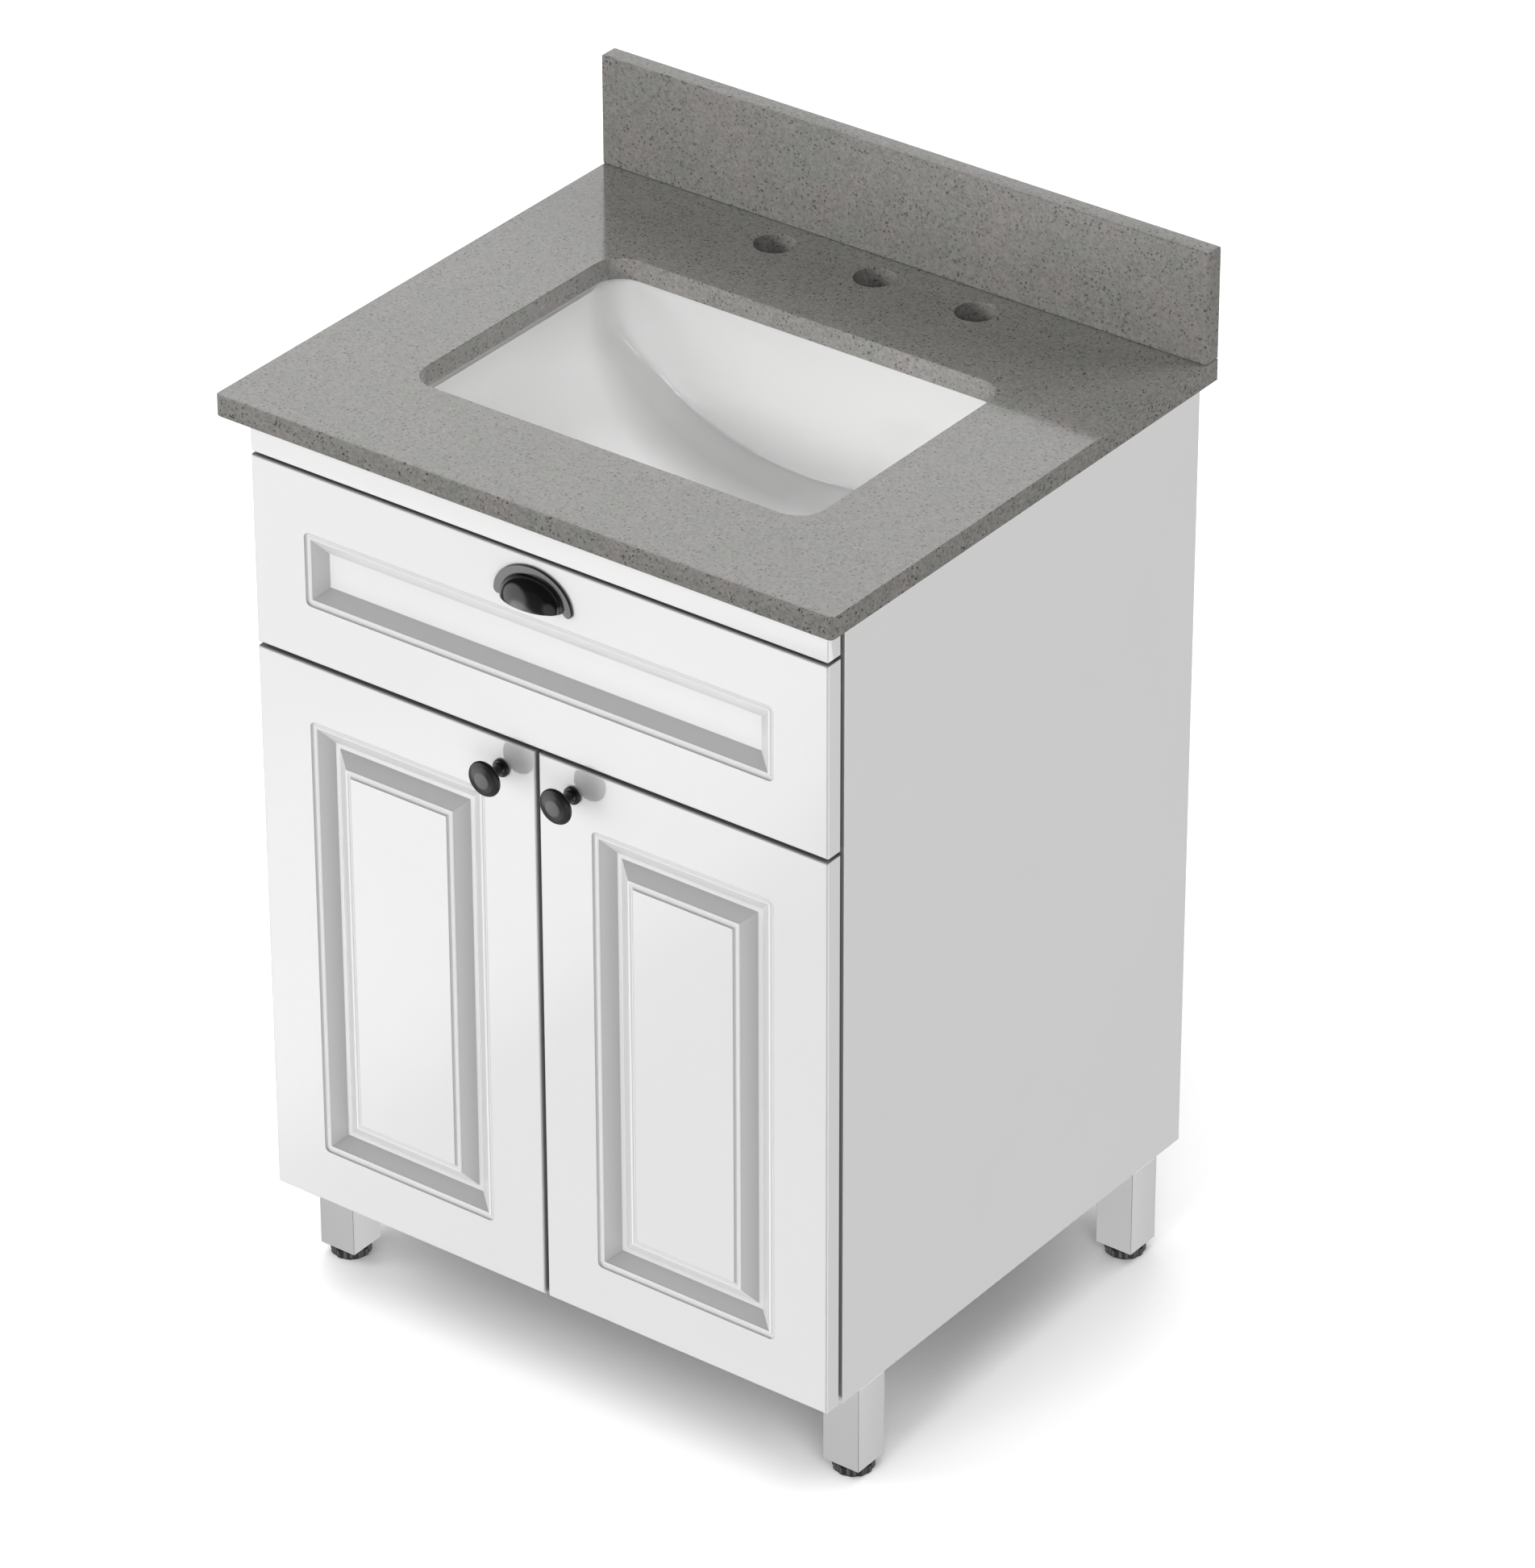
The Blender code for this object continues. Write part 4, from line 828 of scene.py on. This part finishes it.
def build_pull():
    """Bin pull: half-round flange with round feet, and a hollow hood open at its bottom."""
    low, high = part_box("cup_pull")
    place = Vector(((low.x + high.x) / 2, high.y, high.z - PULL_RISE))
    wide = (high.x - low.x) / 2
    reach_full = high.y - low.y
    bm = bmesh.new()
    eased = 0.0006
    outside = []
    for inset, depth in ((eased, 0.0), (0.0, -eased), (0.0, -PULL_FLANGE + eased),
                         (0.3 * eased, -PULL_FLANGE + 0.3 * eased), (eased, -PULL_FLANGE)):
        outside.append(half_ring(bm, place, wide - inset, PULL_RISE - inset, depth))
    inside = []
    fillet = 0.0012
    for i in (0, 1, 2):
        a = i * pi / 6
        outside.append(half_ring(bm, place, HOOD_HALF + fillet * (1 - sin(a)),
                                 HOOD_RISE + fillet * (1 - sin(a)),
                                 -PULL_FLANGE - fillet * (1 - cos(a))))
    levels, crown = 22, 0.985 * pi / 2      # the hood stops just short of a point
    for i in range(1, levels + 1):
        a = crown * (i / levels) ** 0.85
        reach = PULL_FLANGE + (reach_full - PULL_FLANGE) * sin(a)
        if reach < PULL_FLANGE + fillet:
            continue
        outside.append(half_ring(bm, place, HOOD_HALF * cos(a), HOOD_RISE * cos(a), -reach))
        inside.append(half_ring(bm, place, (HOOD_HALF - PULL_WALL) * cos(a),
                                (HOOD_RISE - PULL_WALL) * cos(a), -reach + PULL_WALL * sin(a)))
    inside.reverse()
    inside.append(half_ring(bm, place, HOOD_HALF - PULL_WALL, HOOD_RISE - PULL_WALL, 0.0))
    for rings in (outside, inside, [inside[-1], outside[0]]):
        join_all(bm, rings, closed=False)
    bm.faces.new(outside[-1])
    bm.faces.new(inside[0])
    bm.faces.new((outside[-1][0], outside[-1][-1], inside[0][-1], inside[0][0]))
    for end in (0, -1):
        bm.faces.new([ring[end] for ring in outside + inside])
    foot = (wide - HOOD_HALF) / 2 - 0.0002
    for _, sign in SIDES:
        centre = place + Vector((sign * (wide - foot - 0.0003), 0.0, 0.0006))
        disc = turned(ease(((0.0, 0.0002), (foot, 0.0002), (foot, PULL_FLANGE - 0.0001),
                            (0.0, PULL_FLANGE - 0.0001)), 0.0005), 40)
        matrix = Matrix.Translation(centre) @ Matrix.Rotation(pi / 2, 4, "X")
        bmesh.ops.transform(disc, matrix=matrix, verts=disc.verts)
        merge_into(bm, disc)
    add_piece("cup_pull_formed", bm, FINISHES["black_hardware"], body_of("cup_pull"),
              ["cup_pull"], 40.0)


def merge_into(bm, other):
    """Add another bmesh's faces to a bmesh."""
    carried = bpy.data.meshes.new("carried")
    other.to_mesh(carried)
    other.free()
    bm.from_mesh(carried)
    bpy.data.meshes.remove(carried)


def build_feet():
    """Levelling feet: a fluted disc on a stem."""
    flutes, around = 12, 144
    for leg in LEGS:
        node = "foot_" + leg
        low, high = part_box(node)
        centre = (low + high) / 2
        radius = (high.x - low.x) / 2
        rim = 0.0092
        bm = bmesh.new()

        def disc(size, height, depth):
            """A ring whose radius ripples with the flutes."""
            ring = []
            for i in range(around):
                a = 2 * pi * i / around
                r = size - depth * (0.5 - 0.5 * cos(flutes * a)) ** 1.5
                ring.append(bm.verts.new((centre.x + r * cos(a), centre.y + r * sin(a), height)))
            return ring

        # Radius, height and depth of the flutes, from the ground up.
        section = ((radius - 0.0032, 0.0, 0.0), (radius - 0.0020, 0.0002, 0.0004),
                   (radius - 0.0010, 0.0009, 0.0010), (radius - 0.0003, 0.0019, 0.0015),
                   (radius, 0.0030, 0.0017), (radius, rim - 0.0018, 0.0017),
                   (radius - 0.0003, rim - 0.0009, 0.0016), (radius - 0.0010, rim - 0.0002, 0.0013),
                   (radius - 0.0018, rim, 0.0011), (0.0070, rim, 0.0), (0.0066, rim + 0.0003, 0.0),
                   (0.0064, rim + 0.0010, 0.0), (0.0048, rim + 0.0010, 0.0), (0.0048, high.z, 0.0))
        rings = [disc(*row) for row in section]
        join_all(bm, rings)
        bm.faces.new(reversed(rings[0]))
        bm.faces.new(rings[-1])
        add_piece(node + "_fluted", bm, FINISHES["foot_plastic"], body_of(node),
                  [node], 45.0)


# ---------------------------- small fittings
def screw_head(radius, height):
    """A pan head with a cross recess, standing on z = 0."""
    count = 24
    bm = bmesh.new()
    angles = [2 * pi * i / count for i in range(count)]

    def ring(sizes, z):
        """A ring whose radius may differ from point to point."""
        return [bm.verts.new((r * cos(a), r * sin(a), z)) for r, a in zip(sizes, angles)]

    def cross(length, width):
        """Outline of a cross recess, as a radius for each angle."""
        sizes = []
        for a in angles:
            big, small = max(abs(cos(a)), abs(sin(a))), min(abs(cos(a)), abs(sin(a)))
            sizes.append(length / big if length * small <= width * big else width / small)
        return sizes

    rings = [[bm.verts.new((0, 0, 0))]]
    for share, rise in ((1.0, 0.0), (1.0, 0.30), (0.93, 0.62), (0.80, 0.88), (0.64, 1.0)):
        rings.append(ring([share * radius] * count, rise * height))
    rings.append(ring(cross(0.52 * radius, 0.13 * radius), height))
    rings.append(ring(cross(0.40 * radius, 0.10 * radius), 0.35 * height))
    rings.append([bm.verts.new((0, 0, 0.30 * height))])
    join_all(bm, rings)
    return bm


def add_screws(name, places, body, radius, height):
    """One piece that holds several screw heads of one radius and height.

    Each place is (point, outward direction).
    """
    whole = bmesh.new()
    for i, (point, outward) in enumerate(places):
        head = screw_head(radius, height)
        turn = Vector((0, 0, 1)).rotation_difference(Vector(outward)).to_matrix().to_4x4()
        spin = Matrix.Rotation(0.7 * i, 4, "Z")
        matrix = Matrix.Translation(point) @ turn @ spin
        bmesh.ops.transform(head, matrix=matrix, verts=head.verts)
        merge_into(whole, head)
    add_piece(name, whole, FINISHES["steel"], body, sharp=30.0)


def slab(low, high, corner, axis=1):
    """A thin plate between two corners, with rounded corners seen along one axis."""
    low, high = Vector(low), Vector(high)
    low, high = (Vector(map(min, zip(low, high))), Vector(map(max, zip(low, high))))
    first, second = [i for i in range(3) if i != axis]
    half_a, half_b = (high[first] - low[first]) / 2, (high[second] - low[second]) / 2
    outline = rounded_rectangle(half_a, half_b, corner, 6)
    bm = bmesh.new()
    rings = []
    for depth in (low[axis], high[axis]):
        ring = []
        for a, b in outline:
            point = [0.0, 0.0, 0.0]
            point[axis] = depth
            point[first] = low[first] + half_a + a
            point[second] = low[second] + half_b + b
            ring.append(bm.verts.new(point))
        rings.append(ring)
    join_all(bm, rings)
    bm.faces.new(reversed(rings[0]))
    bm.faces.new(rings[1])
    return bm


def build_hinge_details():
    """Screw wings on the hinge cups, and the hinges' screws."""
    wing_half, wing_thick, wing_start, wing_end = 0.0062, 0.0009, -0.0012, 0.0105
    wing_screw, plate_screw, arm_screws = 0.0045, 0.0066, (0.010, 0.026)
    fixed = []
    for side, sign in SIDES:
        wings, screws = bmesh.new(), []
        for level in LEVELS:
            tag = "%s_%s" % (level, side)
            low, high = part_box("hinge_cup_" + tag)
            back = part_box("door_" + side)[1].y
            centre = (low + high) / 2
            rim = (high.z - low.z) / 2
            for way in (-1, 1):
                near, far = [centre.z + way * (rim + past) for past in (wing_start, wing_end)]
                face = back + GAP + wing_thick
                merge_into(wings, slab((centre.x - wing_half, back + GAP / 3, near),
                                       (centre.x + wing_half, face, far), 0.0036))
                screws.append(((centre.x, face, centre.z + way * (rim + wing_screw)), (0, 1, 0)))
            plate_low, plate_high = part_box("hinge_plate_" + tag)
            face = plate_low.x if sign > 0 else plate_high.x
            along = (plate_low.y + plate_high.y) / 2
            for way in (-1, 1):
                height = centre.z + way * ((plate_high.z - plate_low.z) / 2 - plate_screw)
                fixed.append(((face, along, height), (-sign, 0, 0)))
            arm_low, arm_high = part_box("hinge_arm_" + tag)
            face = arm_low.x if sign > 0 else arm_high.x
            for from_end in arm_screws:
                fixed.append(((face, arm_high.y - from_end, centre.z), (-sign, 0, 0)))
        body = body_of("door_" + side)
        add_piece("hinge_wings_" + side, wings, FINISHES["steel"], body, sharp=40.0)
        add_screws("hinge_cup_screws_" + side, screws, body, 0.0034, 0.0015)
    add_screws("hinge_screws", fixed, body_of("side_panel_left"), 0.0034, 0.0014)


def build_plate_screws():
    """Screws of the leg plates, seen from below."""
    from_front, from_inner = 0.007, (0.009, 0.046)
    places = []
    for leg in LEGS:
        low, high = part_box("leg_plate_" + leg)
        inner, toward = (low.x, 1) if leg.endswith("right") else (high.x, -1)
        for y in (low.y + from_front, high.y - from_front):
            for along in from_inner:
                places.append(((inner + toward * along, y, low.z), (0, 0, -1)))
    add_screws("leg_plate_screws", places, body_of("bottom_panel"), 0.0038, 0.0018)


def build_slide_details():
    """Balls and their cages in the slides, and the slides' screws."""
    balls, cages, screws = bmesh.new(), bmesh.new(), []
    count, cage_half, cage_inset, ball_inset = 22, 0.0013, 0.045, 0.050
    for side, sign in SIDES:
        low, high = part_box("slide_middle_" + side)
        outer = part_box("slide_outer_" + side)
        level = (low.z + high.z) / 2
        face = outer[1].x if sign > 0 else outer[0].x
        # Rows of balls: distance from the outer face, from the slide's middle, radius.
        for x_in, rise, radius in ((0.0066, 0.02025, 0.00098), (0.0086, 0.0170, 0.00094)):
            x = face - sign * x_in
            for way in (-1, 1):
                z = level + way * rise
                merge_into(cages, slab((x - cage_half, low.y + cage_inset, z - GAP),
                                       (x + cage_half, high.y - cage_inset, z + GAP), 0.0002, 2))
                for i in range(count):
                    run = high.y - low.y - 2 * ball_inset
                    y = low.y + ball_inset + run * i / (count - 1)
                    bmesh.ops.create_icosphere(balls, subdivisions=2, radius=radius,
                                               matrix=Matrix.Translation((x, y, z)))
        for share in (0.08, 0.5, 0.92):
            y = outer[0].y + (outer[1].y - outer[0].y) * share
            screws.append(((face - sign * 0.0012, y, level), (-sign, 0, 0)))
    body = body_of("slide_middle_left")
    add_piece("slide_balls", balls, FINISHES["steel"], body, sharp=60.0)
    add_piece("slide_cages", cages, FINISHES["steel"], body, sharp=40.0)
    add_screws("slide_screws", screws, body_of("side_panel_left"), 0.0036, 0.0010)


def build_drawer_screws():
    """Screws that hold the drawer's front to its box."""
    low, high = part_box("drawer_box_front")
    places = []
    for across in (-0.19, -0.07, 0.07, 0.19):
        places.append(((across, high.y, (low.z + high.z) / 2), (0, 1, 0)))
    add_screws("drawer_front_screws", places, body_of("drawer_box_front"), 0.0040, 0.0020)


def build_bumpers():
    """Soft bumpers on the backs of the doors and the drawer front."""
    for side, _ in SIDES:
        panel_low, panel_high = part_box("side_panel_" + side)
        x = (panel_low.x + panel_high.x) / 2
        for node, inset in (("door_" + side, 0.012), ("drawer_front", 0.030)):
            low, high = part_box(node)
            length = panel_low.y - high.y - 0.0002
            bm = bmesh.new()
            for z in (low.z + inset, high.z - inset):
                dome = turned(ease(((0.0, 0.0), (0.0042, 0.0), (0.0040, 0.7 * length),
                                    (0.0026, length), (0.0, length)), 0.0008), 28)
                matrix = Matrix.Translation((x, high.y, z)) @ Matrix.Rotation(-pi / 2, 4, "X")
                bmesh.ops.transform(dome, matrix=matrix, verts=dome.verts)
                merge_into(bm, dome)
            add_piece("bumpers_%s_%s" % (node, side), bm, BUMPER, body_of(node),
                      sharp=45.0)


# ---------------------------- floor, light and camera
def build_floor():
    """A plain pale floor that runs far behind the cabinet."""
    mesh = bpy.data.meshes.new("floor")
    mesh.from_pydata([(-20, -20, 0), (20, -20, 0), (20, 20, 0), (-20, 20, 0)], [], [(0, 1, 2, 3)])
    finish = Finish("floor_paper", roughness=0.7)
    tone = finish.noise(3.0, 2.0)
    finish.give("Base Color", finish.blend(tone, (0.99 * FLOOR_WHITE,) * 3, (FLOOR_WHITE,) * 3))
    mesh.materials.append(finish.material)
    floor = new_object("floor", mesh)
    floor.visible_diffuse = False
    floor.visible_glossy = False
    floor.visible_shadow = False


def pieces_group(name, members):
    """A collection of the pieces that a light falls on."""
    group = bpy.data.collections.new(name)
    for piece in members:
        group.objects.link(piece)
    return group


def add_light(name, kind, way, power, group):
    """A light outside the camera's sight, that faces the cabinet's middle from one side."""
    light = new_object(name, bpy.data.lights.new(name, kind))
    light.data.energy = power
    low, high = CAD_BOX
    aim = Vector([(a + b) / 2 for a, b in zip(low, high)])
    way = Vector(way).normalized()
    light.location = aim + LIGHT_DISTANCE * way
    light.rotation_euler = (-way).to_track_quat("-Z", "Y").to_euler()
    light.visible_camera = False
    light.light_linking.receiver_collection = group
    return light


def build_lights():
    """Soft studio light, with a set of lights for each group of pieces."""
    meshes = [obj for obj in bpy.context.scene.objects if obj.type == "MESH"]
    stone = [obj for obj in meshes if obj.name in ("countertop", "backsplash")]
    basin = [obj for obj in meshes if obj.name in ("sink_basin_glazed", "sealant_bead")]
    ground = [obj for obj in meshes if obj.name == "floor"]
    ground_group = pieces_group("ground", ground)
    legs = [obj for obj in meshes if obj.name.startswith("leg_")]
    outside = [obj for obj in meshes if obj.name.startswith(OUTSIDE)]
    inside = [obj for obj in meshes if obj not in stone + basin + ground + legs + outside]
    for panels, group in ((TOP_PANELS, pieces_group("stone_pieces", stone)),
                          (BASIN_PANELS, pieces_group("basin_pieces", basin)),
                          (FLOOR_PANELS, ground_group)):
        for name, (way, width, height, watts) in panels.items():
            light = add_light(name, "AREA", way, watts, group)
            light.data.shape = "RECTANGLE"
            light.data.size = width
            light.data.size_y = height
            light.visible_glossy = panels is not TOP_PANELS or name == MIRRORED
    for suns, group in ((CABINET_SUNS, pieces_group("outside_pieces", outside)),
                        (INSIDE_SUNS, pieces_group("inside_pieces", inside)),
                        (LEG_SUNS, pieces_group("legs", legs)),
                        (FLOOR_SUNS, ground_group)):
        for name, (way, spread, strength) in suns.items():
            add_light(name, "SUN", way, strength, group).data.angle = radians(spread)
    world = bpy.data.worlds.new("surround")
    world.use_nodes = True
    background = world.node_tree.nodes["Background"]
    background.inputs["Color"].default_value = (1.0, 1.0, 1.0, 1.0)
    background.inputs["Strength"].default_value = WORLD_STRENGTH
    bpy.context.scene.world = world
    bpy.context.scene.view_settings.view_transform = "Standard"


def build_camera():
    """Long lens, from the right and above."""
    data = bpy.data.cameras.new("camera")
    data.lens = CAMERA_LENS
    data.sensor_width = 36.0
    data.clip_end = 100.0
    camera = new_object("camera", data)
    camera.location = CAMERA_PLACE
    turn = Euler((radians(90 - CAMERA_DOWN), 0.0, radians(CAMERA_AZIMUTH)), "XYZ").to_matrix()
    roll = Matrix.Rotation(radians(CAMERA_ROLL), 3, "Z")
    camera.rotation_euler = (turn @ roll).to_euler()
    bpy.context.scene.camera = camera


dress_frame()
build_doors()
build_drawer_front()
build_basin()
build_knobs()
build_pull()
build_feet()
build_hinge_details()
build_plate_screws()
build_slide_details()
build_drawer_screws()
build_bumpers()
build_floor()
build_lights()
build_camera()
